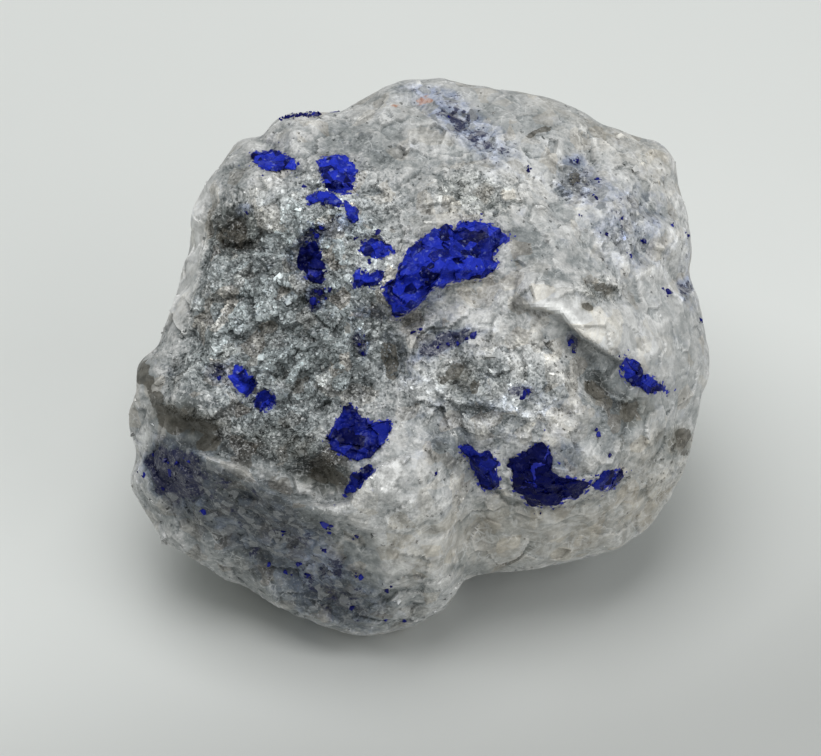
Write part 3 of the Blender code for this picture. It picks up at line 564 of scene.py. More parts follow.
# Qualities kept at each vertex: (name, patches, strength of clouds on the hidden sides, least, most).
QUALITIES = [
    ("tone_and_shade", TONE_AND_SHADE, 0.35, 0.06, 0.8),
    ("blue", BLUE, 1.6, 0, 2),
    ("brown", BROWN, 0.8, 0, 1.2),
    ("rust", RUST, 0.0, 0, 1),
    ("clear", CLEAR, 0.0, 0, 1),
    ("sugar", SUGAR, 0.8, 0.05, 1),
]
# How the patches' edges are made ragged: (size, reach).
PATCH_WARP = [(5.0, 0.9), (1.7, 0.5)]
HIDDEN_CLOUD = 11.0
# Painted shade in hollows and painted light on crests, from how far the surface stands out: (rounds of
# smoothing, height of a full crest, share).
RELIEF_SHADING = [(4, 0.07, 0.6), (40, 0.55, 0.4)]
# Lazurite in the marble beside a grain: how far out it is looked for, and how soon it thins out.
FAR_FROM_GRAINS = 6.0
FRINGE_WIDTH = 0.45
# The face begins this far in front of the lump's middle. Loose crumbs lie this far above the table and
# this far from the lazurite, and they get fewer, by this power, as the marble gets less coarse.
FACE_BEGINS = 8
CRUMBS_ABOVE = 1.5
CLEAR_OF_GRAINS = 0.15
CRUMBS_FALL = 2.5
# The face's patches fade out over this depth, and this much of them is left at the lump's middle.
PATCH_FADE = 6
PATCH_AT_MIDDLE = 0.4


def face_to_part():
    """Matrix from the face's millimetres to metres in the part's frame."""
    right = Vector((1, 0, 0))
    up = Vector((0, math.sin(FACE_LEAN), math.cos(FACE_LEAN)))
    out = Vector((0, -math.cos(FACE_LEAN), math.sin(FACE_LEAN)))
    turn = Matrix((right, up, out)).transposed().to_4x4()
    return Matrix.Scale(MM, 4) @ Matrix.Translation(MIDDLE) @ turn


# ---------------------------------------------------------------- shape functions


def rim_radius(theta, points, centre=(0, 0), soften=0.02):
    """Radius of an outline at angles theta, its corners rounded over soften radians each way."""
    offsets = np.array(points, float) - centre
    angles = np.arctan2(offsets[:, 1], offsets[:, 0])
    order = np.argsort(angles)
    angles = np.concatenate([angles[order] - 2 * np.pi, angles[order], angles[order] + 2 * np.pi])
    radii = np.tile(np.hypot(offsets[:, 0], offsets[:, 1])[order], 3)
    return np.mean([np.interp(theta + shift, angles, radii) for shift in (-soften, 0.0, soften)], axis=0)


def around(theta, table):
    """A value given at a few angles in degrees, read at theta."""
    degrees, values = np.array(table, float).T
    return np.interp(np.degrees(theta) % 360, degrees, values, period=360)


def soft_min(values, blend):
    """The lowest of some values, with a rounded change from one to the next."""
    lowest = np.min(values, axis=0)
    return lowest - blend * np.log(np.sum(np.exp((lowest - values) / blend), axis=0))


def plane_depths(u, v, planes):
    """Depth of each fracture plane at each place."""
    return np.array([depth + du * (u - pu) + dv * (v - pv) for pu, pv, depth, du, dv in planes])


def swelling(u, v, centre_u, centre_v, along, across, turn, rise):
    """A round-topped rise, or a hollow where rise is negative."""
    cos, sin = math.cos(math.radians(turn)), math.sin(math.radians(turn))
    a = ((u - centre_u) * cos + (v - centre_v) * sin) / along
    b = ((v - centre_v) * cos - (u - centre_u) * sin) / across
    return rise * np.exp(-(a * a + b * b))


def ledge(u, v, points, height, reach):
    """A step along a line that dies away over reach on its high side and towards its ends."""
    nearest = np.full(u.shape, np.inf)
    side = np.zeros(u.shape)
    along = np.zeros(u.shape)
    walked = 0.0
    for (u0, v0), (u1, v1) in zip(points, points[1:]):
        du, dv = u1 - u0, v1 - v0
        length = math.hypot(du, dv)
        share = np.clip(((u - u0) * du + (v - v0) * dv) / length**2, 0, 1)
        distance = np.hypot(u - u0 - share * du, v - v0 - share * dv)
        closer = distance < nearest
        side = np.where(closer, (du * (v - v0) - dv * (u - u0)) / length, side)
        along = np.where(closer, walked + share * length, along)
        nearest = np.where(closer, distance, nearest)
        walked += length
    step = 1 / (1 + np.exp(-np.clip(side / LEDGE_WIDTH, -30, 30) * 2))
    taper = 1 - np.abs(2 * along / walked - 1) ** LEDGE_TAPER
    return height * taper * step * np.exp(-((nearest / reach) ** 2))


def front_depth(u, v):
    """How far the face stands out in front of the middle of the lump."""
    face = soft_min(plane_depths(u, v, FACE_PLANES), PLANE_BLEND)
    foot = soft_min(plane_depths(u, v, FOOT_PLANES), FOOT_BLEND)
    depth = -soft_min(np.array([-face, -foot]), LEVEL_BLEND)
    for numbers in SWELLINGS:
        depth += swelling(u, v, *numbers)
    for points, height, reach in LEDGES:
        depth += ledge(u, v, points, LEDGE_SHARPENING * height, reach)
    return np.maximum(depth, LEAST_DEPTH)


def smooth_noise(points, size):
    """Soft random swells of about the given size, between -1 and 1."""
    return np.array([noise.noise(Vector(p) / size) for p in points])


def facets(points, size, tilt, step):
    """Flat facets at random tilts and heights, one to a cell of about the given size."""
    cells = np.empty((len(points), 3))
    for i, point in enumerate(points):
        cells[i] = noise.voronoi(Vector(point) / size)[1][0]
    spin = (np.sin(cells @ CELL_HASH) * HASH_STRETCH) % 1 * 2 - 1
    offset = points / size - cells
    return size * tilt * np.sum(offset * spin[:, :3], axis=1) + size * step * spin[:, 3]


def lump_points(directions):
    """Unit directions in the face's frame carried out to the surface of the lump."""
    across = np.hypot(directions[:, 0], directions[:, 1])
    theta = np.arctan2(directions[:, 1], directions[:, 0])
    front = directions[:, 2] >= 0
    square = np.where(front, around(theta, RIM_SQUARENESS), BACK_SQUARENESS)
    stretch = (across**square + np.abs(directions[:, 2]) ** square) ** (-1 / square)
    rim = rim_radius(theta, OUTLINE)
    span, rise = across * stretch, np.abs(directions[:, 2]) * stretch
    u, v = rim * span * np.cos(theta), rim * span * np.sin(theta)
    depth = np.where(front, front_depth(u, v), -BACK_DEPTH)
    points = cut_back(np.stack([u, v, rise * depth], axis=1))
    tilt = span ** (square - 1) / rim
    outward = np.stack([tilt * np.cos(theta), tilt * np.sin(theta), rise ** (square - 1) / depth], axis=1)
    outward /= np.linalg.norm(outward, axis=1)[:, None]
    # Nought at the rim, where the surface may move least, and 1 over the middle.
    freedom = 1 - (1 - rise) ** 3
    points += outward * roughness(points, freedom)[:, None]
    points += outward * broken_surface(points, freedom)[:, None]
    inside = np.minimum(1, (rim + RIM_ROOM) / np.maximum(np.hypot(points[:, 0], points[:, 1]), 1e-6))
    points[:, :2] *= inside[:, None]
    return points


def cut_back(points):
    """Fracture planes on the back side, taken off by drawing the surface in to them."""
    shrink = [np.ones(len(points))]
    for nu, nv, nw, distance in BACK_PLANES:
        normal = np.array(Vector((nu, nv, -nw)).normalized())
        shrink.append(distance / np.maximum(points @ normal, 1e-6))
    factor = soft_min(np.clip(np.array(shrink), 0, 3), BACK_BLEND / BACK_DEPTH)
    factor = np.where(points[:, 2] < 0, np.minimum(factor, 1), 1)
    return points * factor[:, None]


def roughness(points, freedom):
    """Height of the swells of the surface, which are lowest at the rim."""
    rise = np.zeros(len(points))
    for size, height in ROUGHNESS:
        rise += height * smooth_noise(points, size)
    for numbers in SMOOTH_PARTS:
        rise *= 1 - np.where(points[:, 2] > 0, swelling(points[:, 0], points[:, 1], *numbers), 0)
    size, height = BACK_LUMPS
    rise += np.where(points[:, 2] < 0, height * smooth_noise(points, size) * freedom, 0)
    return (RIM_SWELLS + (1 - RIM_SWELLS) * freedom) * rise


def broken_surface(points, freedom):
    """Height of the facets and creases of freshly broken marble."""
    crumbly = np.clip(quality(points, SUGAR), LEAST_CRUMBLY, 1)
    hidden = np.clip(-points[:, 2] / HIDDEN_REACH, 0, 1)
    everywhere, where_crumbly, behind = FRACTURE_SHARES
    height = facets(points, *FRACTURE) * (everywhere + where_crumbly * crumbly + behind * hidden)
    height += facets(points, *SUGAR_FACETS) * crumbly
    for size, depth in CREASES:
        fold = np.minimum(np.abs(smooth_noise(points + 17.0, size)) * CREASE_SHARPNESS, 1)
        height += depth * crumbly * (fold - CREASE_LEVEL)
    return height * (RIM_FACETS + (1 - RIM_FACETS) * freedom)


def patch(u, v, *place):
    """A patch with a flat middle and a quick edge."""
    return np.exp(-(np.log(np.maximum(swelling(u, v, *place, 1.0), 1e-30)) ** 2))


def warped(points):
    """Points moved about a little, so that patches laid on them get ragged edges."""
    moved = points.copy()
    for size, reach in PATCH_WARP:
        moved[:, 0] += reach * smooth_noise(points + 40.0, size)
        moved[:, 1] += reach * smooth_noise(points - 40.0, size)
    return moved


def quality(points, described, sway=0.0):
    """A quality of the marble over the face by its patches; the hidden sides have clouds of it."""
    level, places = described
    front = np.clip(points[:, 2] / PATCH_FADE + PATCH_AT_MIDDLE, 0, 1)
    amount = np.full(len(points), float(level))
    for u, v, along, across, turn, change in places:
        amount += front * change * patch(points[:, 0], points[:, 1], u, v, along, across, turn)
    return amount + (1 - front) * sway * smooth_noise(points + 70.0, HIDDEN_CLOUD)


# ---------------------------------------------------------------- mesh helpers


def linked(name, mesh):
    made = bpy.data.objects.new(name, mesh)
    bpy.context.scene.collection.objects.link(made)
    return made


def vertex_array(mesh):
    found = np.empty(len(mesh.vertices) * 3, np.float32)
    mesh.vertices.foreach_get("co", found)
    return found.reshape(-1, 3).astype(float)


def set_vertices(mesh, points):
    mesh.vertices.foreach_set("co", np.ascontiguousarray(points, np.float32).ravel())
    mesh.update()


def set_attribute(mesh, name, values):
    layer = mesh.attributes.new(name, "FLOAT", "POINT")
    layer.data.foreach_set("value", np.ascontiguousarray(values, np.float32))


def dense_ball(name):
    """A unit ball of even triangles, with four times as many on the side that becomes the face."""
    shape = bmesh.new()
    bmesh.ops.create_icosphere(shape, subdivisions=BALL_LEVELS, radius=1.0)
    fine_faces = [face for face in shape.faces if face.calc_center_median().z > FINE_BALL_HEIGHT]
    near = {edge for face in fine_faces for edge in face.edges}
    bmesh.ops.subdivide_edges(shape, edges=list(near), cuts=1, use_grid_fill=True)
    bmesh.ops.triangulate(shape, faces=[face for face in shape.faces if len(face.verts) > 3])
    for vertex in shape.verts:
        vertex.co.normalize()
    mesh = bpy.data.meshes.new(name)
    shape.to_mesh(mesh)
    shape.free()
    return mesh


def cut_underside(mesh):
    """Cuts off what is below the table, and closes the cut with the flat break it rests on."""
    shape = bmesh.new()
    shape.from_mesh(mesh)
    everything = shape.verts[:] + shape.edges[:] + shape.faces[:]
    cut = bmesh.ops.bisect_plane(
        shape, geom=everything, dist=1e-6, plane_co=(0, 0, 0), plane_no=(0, 0, -1), clear_outer=True
    )
    edges = [item for item in cut["geom_cut"] if isinstance(item, bmesh.types.BMEdge)]
    bmesh.ops.contextual_create(shape, geom=edges)
    bmesh.ops.recalc_face_normals(shape, faces=shape.faces[:])
    bmesh.ops.triangulate(shape, faces=[face for face in shape.faces if len(face.verts) > 4])
    shape.to_mesh(mesh)
    shape.free()


def face_frame(mesh):
    """The mesh's vertices in the face's millimetres."""
    to_face = np.array(face_to_part().inverted())
    return vertex_array(mesh) @ to_face[:3, :3].T + to_face[:3, 3]


# ---------------------------------------------------------------- node helpers


class Nodes:
    """A tree of nodes that are added one by one, each with its inputs and settings."""

    def __init__(self, tree):
        self.tree = tree

    def add(self, kind, inputs=None, **settings):
        made = self.tree.nodes.new(kind)
        for key, value in settings.items():
            setattr(made, key, value)
        for key, value in (inputs or {}).items():
            self.give(made.inputs[key], value)
        return made

    def give(self, target, value):
        """Joins a socket to a node's input, or sets the input to a plain value."""
        if isinstance(value, bpy.types.NodeSocket):
            self.tree.links.new(value, target)
        else:
            target.default_value = value

    def math(self, operation, a, b=0.0, clamp=False):
        return self.add("ShaderNodeMath", {0: a, 1: b}, operation=operation, use_clamp=clamp).outputs[0]

    def plus(self, a, b):
        return self.math("ADD", a, b)

    def minus(self, a, b):
        return self.math("SUBTRACT", a, b)

    def times(self, a, b):
        return self.math("MULTIPLY", a, b)

    def scaled(self, vector, factor):
        return self.add("ShaderNodeVectorMath", {0: vector, "Scale": factor}, operation="SCALE").outputs[0]


class Shader(Nodes):
    """A material, with the noises, grains and mixes that the marble and the lazurite are made of."""

    def __init__(self, name):
        self.material = bpy.data.materials.new(name)
        self.material.use_nodes = True
        super().__init__(self.material.node_tree)
        self.surface = self.tree.nodes["Principled BSDF"]
        self.place = self.add("ShaderNodeTexCoord").outputs["Object"]

    def finished(self, inputs):
        """Gives the surface its colour, gloss and normal, and returns the material."""
        for key, value in inputs.items():
            self.give(self.surface.inputs[key], value)
        return self.material

    def attribute(self, name):
        return self.add("ShaderNodeAttribute", attribute_name=name).outputs["Fac"]

    def vector(self, operation, a, b=(0, 0, 0)):
        return self.add("ShaderNodeVectorMath", {0: a, 1: b}, operation=operation).outputs[0]

    def noise(self, size, detail, rough, distortion=0.0):
        made = self.add(
            "ShaderNodeTexNoise",
            {"Vector": self.place, "Scale": 1 / (size * MM), "Detail": detail, "Roughness": rough,
             "Distortion": distortion},
        )
        return made.outputs["Fac"]

    def bent_place(self, size, reach):
        """The place, pushed about by noise so that cells read there lose their straight sides."""
        push = self.add("ShaderNodeTexNoise", {"Vector": self.place, "Scale": 1 / (size * MM), "Detail": 3.0})
        offset = self.vector("SUBTRACT", push.outputs["Color"], (0.5, 0.5, 0.5))
        return self.vector("ADD", self.place, self.scaled(offset, reach * MM))

    def cells(self, size, place=None):
        """A random colour for each grain of about the given size."""
        made = self.add("ShaderNodeTexVoronoi", {"Vector": place or self.place, "Scale": 1 / (size * MM)})
        return made.outputs["Color"]

    def channel(self, colour, name):
        return self.add("ShaderNodeSeparateColor", {0: colour}).outputs[name]

    def spread(self, value, low, high, to_low=0.0, to_high=1.0, smooth=True):
        """A value whose range from low to high is carried to another range, and held inside it."""
        made = self.add(
            "ShaderNodeMapRange",
            {"Value": value, "From Min": low, "From Max": high, "To Min": to_low, "To Max": to_high},
            interpolation_type="SMOOTHSTEP" if smooth else "LINEAR",
        )
        return made.outputs["Result"]

    def sway(self, value, most):
        """A random value from 0 to 1, made to swing as far below nought as above it."""
        return self.spread(value, 0, 1, -most, most, smooth=False)

    def lines(self, field, width):
        """Thin lines where a noise crosses its middle, 1 on the line."""
        return self.spread(self.math("ABSOLUTE", self.minus(field, 0.5)), 0.0, width, 1.0, 0.0)

    def mix(self, share, a, b, blend="MIX"):
        made = self.add("ShaderNodeMix", {0: share, 6: a, 7: b}, data_type="RGBA", blend_type=blend)
        return made.outputs[2]

    def grain_normal(self, leans):
        """Turns each grain's normal its own way, by the grains' colours and how far each set leans."""
        turned = self.add("ShaderNodeNewGeometry").outputs["Normal"]
        for colour, strength in leans:
            offset = self.vector("SUBTRACT", colour, (0.5, 0.5, 0.5))
            turned = self.vector("ADD", turned, self.scaled(offset, strength))
        return self.vector("NORMALIZE", turned)


# ---------------------------------------------------------------- colours and finishes

NAVY = (0.008, 0.011, 0.050, 1)
ULTRAMARINE = (0.010, 0.018, 0.30, 1)
IRON = (0.15, 0.125, 0.09, 1)
MILK = (0.78, 0.79, 0.79, 1)
RUST_ORANGE = (0.42, 0.19, 0.11, 1)
GREY_PLATE = (0.22, 0.23, 0.24, 1)
# Painted shade in the gaps between calcite grains.
PAINTED_GAP_SHADE = (0.35, 0.37, 0.37, 1)
SMOKE = [(0.05, 0.046, 0.036, 1), (0.15, 0.142, 0.122, 1)]
# Tints that the marble's brightness is multiplied by.
CLEAR_TINT = (0.88, 0.975, 1.0, 1)
MILKY_TINT = (0.995, 1.0, 0.99, 1)
SUGARY_TINT = (0.86, 0.97, 1.0, 1)
WARM_TINT = (1.0, 0.97, 0.90, 1)
IRON_TINT = (1.0, 0.955, 0.86, 1)
BLUE_TINT = (0.66, 0.74, 0.98, 1)

LAZURITE = [(0.0014, 0.0022, 0.042, 1), (0.018, 0.036, 0.50, 1)]
SCRATCH = (0.18, 0.24, 0.62, 1)
PALE_SPECK = (0.35, 0.40, 0.66, 1)
CHIPS = [(0.003, 0.004, 0.085, 1), (0.012, 0.023, 0.34, 1)]
TABLE = [(0.71, 0.726, 0.71, 1), (0.75, 0.766, 0.75, 1)]
BLACK = (0, 0, 0, 1)

# Sizes of the grains in millimetres.
CALCITE_LUMP = 2.3
CALCITE_FLAKE = 1.05
CALCITE_GRAIN = 0.46
CALCITE_SPECK = 0.24
GLINTING_FLAKE = 1.1
SEAMED_LUMP = 1.3
FIBRE = 0.45
FIBRE_STRETCH = (1.0, 0.28, 0.24)
LAZURITE_FACET = 1.3
LAZURITE_SPECK = 0.35
# How the straight sides of grains are bent: (size of the bend, reach).
FLAKE_BEND = (2.6, 1.2)
SEAM_BEND = (1.8, 1.0)

# Noises: (size in millimetres, detail, roughness, and distortion where there is any).
CALCITE_CLOUDS = (2.6, 7.0, 0.60)
FIBROUS_PLACES = (6.0, 3.0, 0.5)
BLUE_DUST = (2.0, 7.0, 0.7)
NAVY_BLOTCHES = (1.9, 7.0, 0.68)
BROWN_BLOOM = (2.4, 5.0, 0.6)
RUST_EDGES = (0.8, 4.0, 0.6)
SPECK_GLINTS_AND_GAP_SHADE = (0.32, 3.0, 0.6)
MILKY_WISPS = (6.5, 7.0, 0.66, 0.8)
SEAMED_PLACES = (2.2, 5.0, 0.6)
GLASSY_EDGES = (0.9, 5.0, 0.65)
SMOKE_CLOUDS = (1.2, 5.0, 0.6)
FRINGE_HAZE = (0.8, 5.0, 0.7)
LAZURITE_CLOUDS = (1.6, 6.0, 0.62)
SCRATCHES = (2.4, 6.0, 0.6, 0.6)
TABLE_CLOUDS = (60.0, 4.0, 0.5)
# Painted shade on the table, darker towards the near right: how its edge slants, between which two lines it
# ends, and how dark it is.
PAINTED_SHADE_SLANT = 0.4
PAINTED_SHADE_EDGES = (-0.06, 0.02)
DEEPEST_PAINTED_SHADE = 0.62


def stepped(shader, lump, flake, sugar, blue):
    """Brightness that steps from one lump and flake of calcite to the next."""
    steps = shader.plus(shader.sway(shader.channel(lump, "Red"), 0.20),
                        shader.sway(shader.channel(flake, "Red"), 0.24))
    flaky = shader.math("MAXIMUM", sugar, shader.times(blue, 1.1))
    steps = shader.times(steps, shader.spread(flaky, 0.1, 0.5, 0.35, 1.0))
    return shader.times(steps, shader.spread(sugar, 0.6, 1.0, 1.0, 0.6))


def fibrous(shader, sugar):
    """Streaks of light and dark, here and there where the grain is coarse."""
    streaks = shader.add(
        "ShaderNodeTexNoise",
        {"Vector": shader.vector("MULTIPLY", shader.place, FIBRE_STRETCH), "Scale": 1 / (FIBRE * MM),
         "Detail": 5.0, "Roughness": 0.6},
    ).outputs["Fac"]
    fibres = shader.times(shader.spread(streaks, 0.35, 0.65, -0.34, 0.34, smooth=False),
                          shader.spread(shader.noise(*FIBROUS_PLACES), 0.46, 0.60))
    return shader.times(fibres, shader.spread(sugar, 0.12, 0.45))


def calcite_tint(shader, tone_and_shade, lump, sugar):
    """Cooler where the calcite is dark or sugary, and warmer in some lumps."""
    tint = shader.mix(shader.spread(tone_and_shade, 0.08, 0.5), CLEAR_TINT, MILKY_TINT)
    tint = shader.mix(shader.spread(sugar, 0.35, 0.95, 0.0, 0.8), tint, SUGARY_TINT)
    return shader.mix(shader.spread(shader.channel(lump, "Green"), 0.6, 1.0), tint, WARM_TINT)


def dusted(shader, colour, flake, cloud, blue):
    """Lazurite in the marble: a haze of dust, navy blotches, and clear grey plates between them."""
    hazy = shader.mix(1.0, colour, BLUE_TINT, "MULTIPLY")
    dust_and_speck_noise = shader.plus(shader.times(blue, 0.45), shader.noise(*BLUE_DUST))
    colour = shader.mix(shader.spread(dust_and_speck_noise, 0.52, 1.0), colour, hazy)
    blotch = shader.plus(shader.noise(*NAVY_BLOTCHES), shader.times(blue, 0.26))
    colour = shader.mix(shader.spread(blotch, 0.75, 0.80, 0.0, 0.92), colour, NAVY)
    plate = shader.plus(shader.channel(flake, "Blue"), shader.times(cloud, 0.5))
    plate = shader.times(shader.spread(plate, 1.04, 1.08), shader.spread(blue, 0.25, 0.6, 0.0, 0.8))
    plate = shader.times(plate, shader.spread(blue, 1.1, 1.6, 1.0, 0.15))
    return shader.mix(plate, colour, GREY_PLATE)


def rusted(shader, colour, brown):
    """Iron in the marble: a brown bloom, and orange where there is a spot of rust."""
    bloom = shader.plus(shader.noise(*BROWN_BLOOM), shader.times(brown, 0.4))
    colour = shader.mix(shader.spread(bloom, 0.58, 0.95, 0.0, 0.75), colour, shader.mix(0.5, colour, IRON))
    spot = shader.plus(shader.noise(*RUST_EDGES), shader.times(shader.attribute("rust"), 0.5))
    return shader.mix(shader.spread(spot, 0.72, 0.95, 0.0, 0.8), colour, RUST_ORANGE)


def marble_colour(shader, brightness):
    """Marble of the given brightness, with painted shade in hollows and painted light on crests, tinted where
    lazurite dust or iron has stained it.
    """
    bent = shader.bent_place(*FLAKE_BEND)
    lump = shader.cells(CALCITE_LUMP, bent)
    flake = shader.cells(CALCITE_FLAKE, bent)
    cloud = shader.noise(*CALCITE_CLOUDS)
    sugar, blue, brown = (shader.attribute(name) for name in ("sugar", "blue", "brown"))
    patchy = shader.times(shader.plus(stepped(shader, lump, flake, sugar, blue), 1.0),
                          shader.spread(cloud, 0.3, 0.7, 0.76, 1.24, smooth=False))
    patchy = shader.times(patchy, shader.plus(fibrous(shader, sugar), 1.0))
    # Painted shade and light: darker in the surface's hollows, lighter on its crests.
    relief_shade = shader.attribute("relief_shade")
    patchy = shader.times(patchy, shader.spread(relief_shade, -0.8, 0.8, 0.60, 1.28, smooth=False))
    tone_and_shade = shader.times(shader.attribute("tone_and_shade"), shader.times(brightness, patchy))
    colour = shader.mix(1.0, calcite_tint(shader, tone_and_shade, lump, sugar), tone_and_shade, "MULTIPLY")
    stained = shader.mix(1.0, colour, IRON_TINT, "MULTIPLY")
    colour = shader.mix(shader.math("MULTIPLY", brown, 1.0, clamp=True), colour, stained)
    colour = dusted(shader, colour, flake, cloud, blue)
    return rusted(shader, colour, brown)


def specks_glints_and_shade(shader, colour, contrast):
    """Milky specks on the grains, partly the calcite's own white and partly painted glints, and painted shade
    in the gaps between them.
    """
    # A fine noise whose high end gives painted glints and whose low end gives painted shade in the gaps.
    dust_and_speck_noise = shader.noise(*SPECK_GLINTS_AND_GAP_SHADE)
    # Painted glints: milky specks, partly the calcite's own white.
    speck_and_glint = shader.times(shader.spread(dust_and_speck_noise, 0.57, 0.64), contrast)
    colour = shader.mix(shader.times(speck_and_glint, 0.7), colour, MILK)
    # Painted shade in the gaps between the grains.
    gap_shade = shader.times(shader.spread(dust_and_speck_noise, 0.43, 0.37), contrast)
    gap_shade = shader.times(gap_shade, shader.spread(shader.attribute("tone_and_shade"), 0.2, 0.6, 1.0, 0.35))
    shaded = shader.mix(1.0, colour, PAINTED_GAP_SHADE, "MULTIPLY")
    return shader.mix(shader.times(gap_shade, 0.6), colour, shaded)


def veined(shader, colour):
    """Milky wisps through the bright marble, and milky seams between some lumps."""
    wisps = shader.lines(shader.noise(*MILKY_WISPS), 0.05)
    wisps = shader.times(wisps, shader.spread(shader.attribute("tone_and_shade"), 0.2, 0.5))
    colour = shader.mix(shader.times(wisps, 0.3), colour, MILK)
    edges = shader.add(
        "ShaderNodeTexVoronoi",
        {"Vector": shader.bent_place(*SEAM_BEND), "Scale": 1 / (SEAMED_LUMP * MM)},
        feature="DISTANCE_TO_EDGE",
    ).outputs["Distance"]
    seams = shader.times(shader.spread(shader.noise(*SEAMED_PLACES), 0.52, 0.60),
                         shader.spread(edges, 0.0, 0.07, 1.0, 0.0))
    seams = shader.times(seams, shader.spread(shader.attribute("blue"), 0.2, 0.8, 0.38, 0.14))
    return shader.mix(seams, colour, MILK)


def glassy_places(shader):
    """Where the calcite is clear enough to look into, with a ragged edge."""
    edge = shader.minus(shader.noise(*GLASSY_EDGES), 0.5)
    return shader.spread(shader.plus(shader.attribute("clear"), edge), 0.46, 0.55)


def smoky_colour(shader):
    """The grey-brown that is seen in clear calcite."""
    cloud = shader.noise(*SMOKE_CLOUDS)
    return shader.mix(shader.spread(cloud, 0.3, 0.7), *SMOKE)


def fringed(shader, colour, grain):
    """Lazurite that shows in the marble round the lazurite grains, crumb by crumb."""
    near = shader.plus(shader.attribute("reach"), shader.sway(shader.channel(grain, "Green"), 0.45))
    solid = shader.spread(near, -0.04, 0.04, 1.0, 0.0)
    haze = shader.times(shader.attribute("fringe"), shader.spread(shader.noise(*FRINGE_HAZE), 0.35, 0.65))
    colour = shader.mix(shader.times(haze, 0.8), colour, NAVY)
    return shader.mix(solid, colour, ULTRAMARINE)


def marble_material():
    """Sugary marble: grains of their own brightness, gloss and tilt, and glassy smoky places."""
    shader = Shader("sugary marble")
    grain = shader.cells(CALCITE_GRAIN)
    fine = shader.cells(CALCITE_SPECK)
    flake = shader.cells(GLINTING_FLAKE, shader.bent_place(*FLAKE_BEND))
    sugar = shader.attribute("sugar")
    contrast = shader.spread(sugar, 0.15, 0.95, 0.10, 1.0, smooth=False)
    pick = shader.plus(shader.times(shader.channel(grain, "Red"), 0.5),
                       shader.times(shader.channel(fine, "Red"), 0.5))
    swing = shader.times(shader.spread(pick, 0.15, 0.85, -0.75, 0.75, smooth=False), contrast)
    colour = marble_colour(shader, shader.plus(swing, 1.0))
    colour = veined(shader, specks_glints_and_shade(shader, colour, contrast))
    clear = glassy_places(shader)
    colour = shader.mix(shader.times(clear, 0.85), colour, smoky_colour(shader))
    rough = shader.spread(shader.channel(grain, "Green"), 0, 1, 0.28, 0.62, smooth=False)
    lean = shader.spread(sugar, 0.0, 1.0, 0.12, 1.25, smooth=False)
    return shader.finished({
        "Base Color": fringed(shader, colour, grain),
        "Roughness": shader.minus(rough, shader.times(clear, 0.12)),
        "Normal": shader.grain_normal(((fine, lean), (flake, 0.22))),
        "IOR": 1.55,
        "Specular IOR Level": 0.3,
    })


def sugar_material():
    """Loose calcite grains: as the marble, with a few much brighter than the rest."""
    shader = Shader("calcite grains")
    shade = shader.attribute("shade")
    bright = shader.spread(shader.math("POWER", shade, 5.0), 0.0, 1.0, 0.85, 2.1, smooth=False)
    return shader.finished({
        "Base Color": marble_colour(shader, bright),
        "Roughness": shader.spread(shade, 0, 1, 0.15, 0.45, smooth=False),
        "IOR": 1.6,
    })


def lazurite_material():
    """Lazurite: blue facets and dark clouds, fine pale scratches, and pale specks."""
    shader = Shader("lazurite")
    facet = shader.cells(LAZURITE_FACET)
    fine = shader.cells(LAZURITE_SPECK)
    cloud = shader.noise(*LAZURITE_CLOUDS)
    lightness = shader.attribute("light")
    pick = shader.plus(shader.times(shader.channel(facet, "Red"), 0.5), shader.times(cloud, 0.7))
    colour = shader.mix(shader.times(shader.spread(pick, 0.3, 0.85), lightness), *LAZURITE)
    scratch = shader.lines(shader.noise(*SCRATCHES), 0.014)
    scratch = shader.times(scratch, shader.spread(cloud, 0.45, 0.6))
    colour = shader.mix(shader.times(scratch, shader.times(lightness, 0.35)), colour, SCRATCH)
    pale = shader.spread(shader.channel(fine, "Green"), 0.955, 0.975, 0.0, 0.28)
    colour = shader.mix(shader.times(pale, lightness), colour, PALE_SPECK)
    return shader.finished({
        "Base Color": colour,
        "Roughness": shader.spread(shader.channel(facet, "Blue"), 0, 1, 0.22, 0.5, smooth=False),
        "Normal": shader.grain_normal(((fine, 0.28), (facet, 0.2))),
        "IOR": 1.5,
        "Specular IOR Level": 0.09,
    })


def chip_material():
    """Chips and flecks of lazurite, each with a blue of its own."""
    shader = Shader("lazurite chips")
    shade = shader.attribute("shade")
    return shader.finished({
        "Base Color": shader.mix(shader.spread(shade, 0.0, 1.0), *CHIPS),
        "Roughness": shader.spread(shade, 0, 1, 0.2, 0.5, smooth=False),
        "IOR": 1.5,
        "Specular IOR Level": 0.2,
    })


def table_material():
    """A plain pale table, with painted shade that darkens it towards the near right."""
    shader = Shader("pale table")
    cloud = shader.noise(*TABLE_CLOUDS)
    colour = shader.mix(cloud, *TABLE)
    place = shader.add("ShaderNodeSeparateXYZ", {0: shader.place}).outputs
    # Painted shade: darker towards the near right of the table.
    across = shader.minus(place["Y"], shader.times(place["X"], PAINTED_SHADE_SLANT))
    return shader.finished({
        "Base Color": shader.mix(shader.spread(across, *PAINTED_SHADE_EDGES, DEEPEST_PAINTED_SHADE, 1.0), BLACK, colour),
        "Roughness": 0.6,
    })


# ---------------------------------------------------------------- the pieces


def distance_to_outline(u, v, points):
    """Distance from each place to an outline, negative inside it."""
    nearest = np.full(u.shape, np.inf)
    crossings = np.zeros(u.shape, int)
    for (u0, v0), (u1, v1) in zip(points, points[1:] + points[:1]):
        du, dv = u1 - u0, v1 - v0
        share = np.clip(((u - u0) * du + (v - v0) * dv) / (du * du + dv * dv), 0, 1)
        nearest = np.minimum(nearest, np.hypot(u - u0 - share * du, v - v0 - share * dv))
        spans = (v0 > v) != (v1 > v)
        at = u0 + (v - v0) / (dv or 1e-9) * du
        crossings += spans & (u < at)
    return np.where(crossings % 2 == 1, -nearest, nearest)


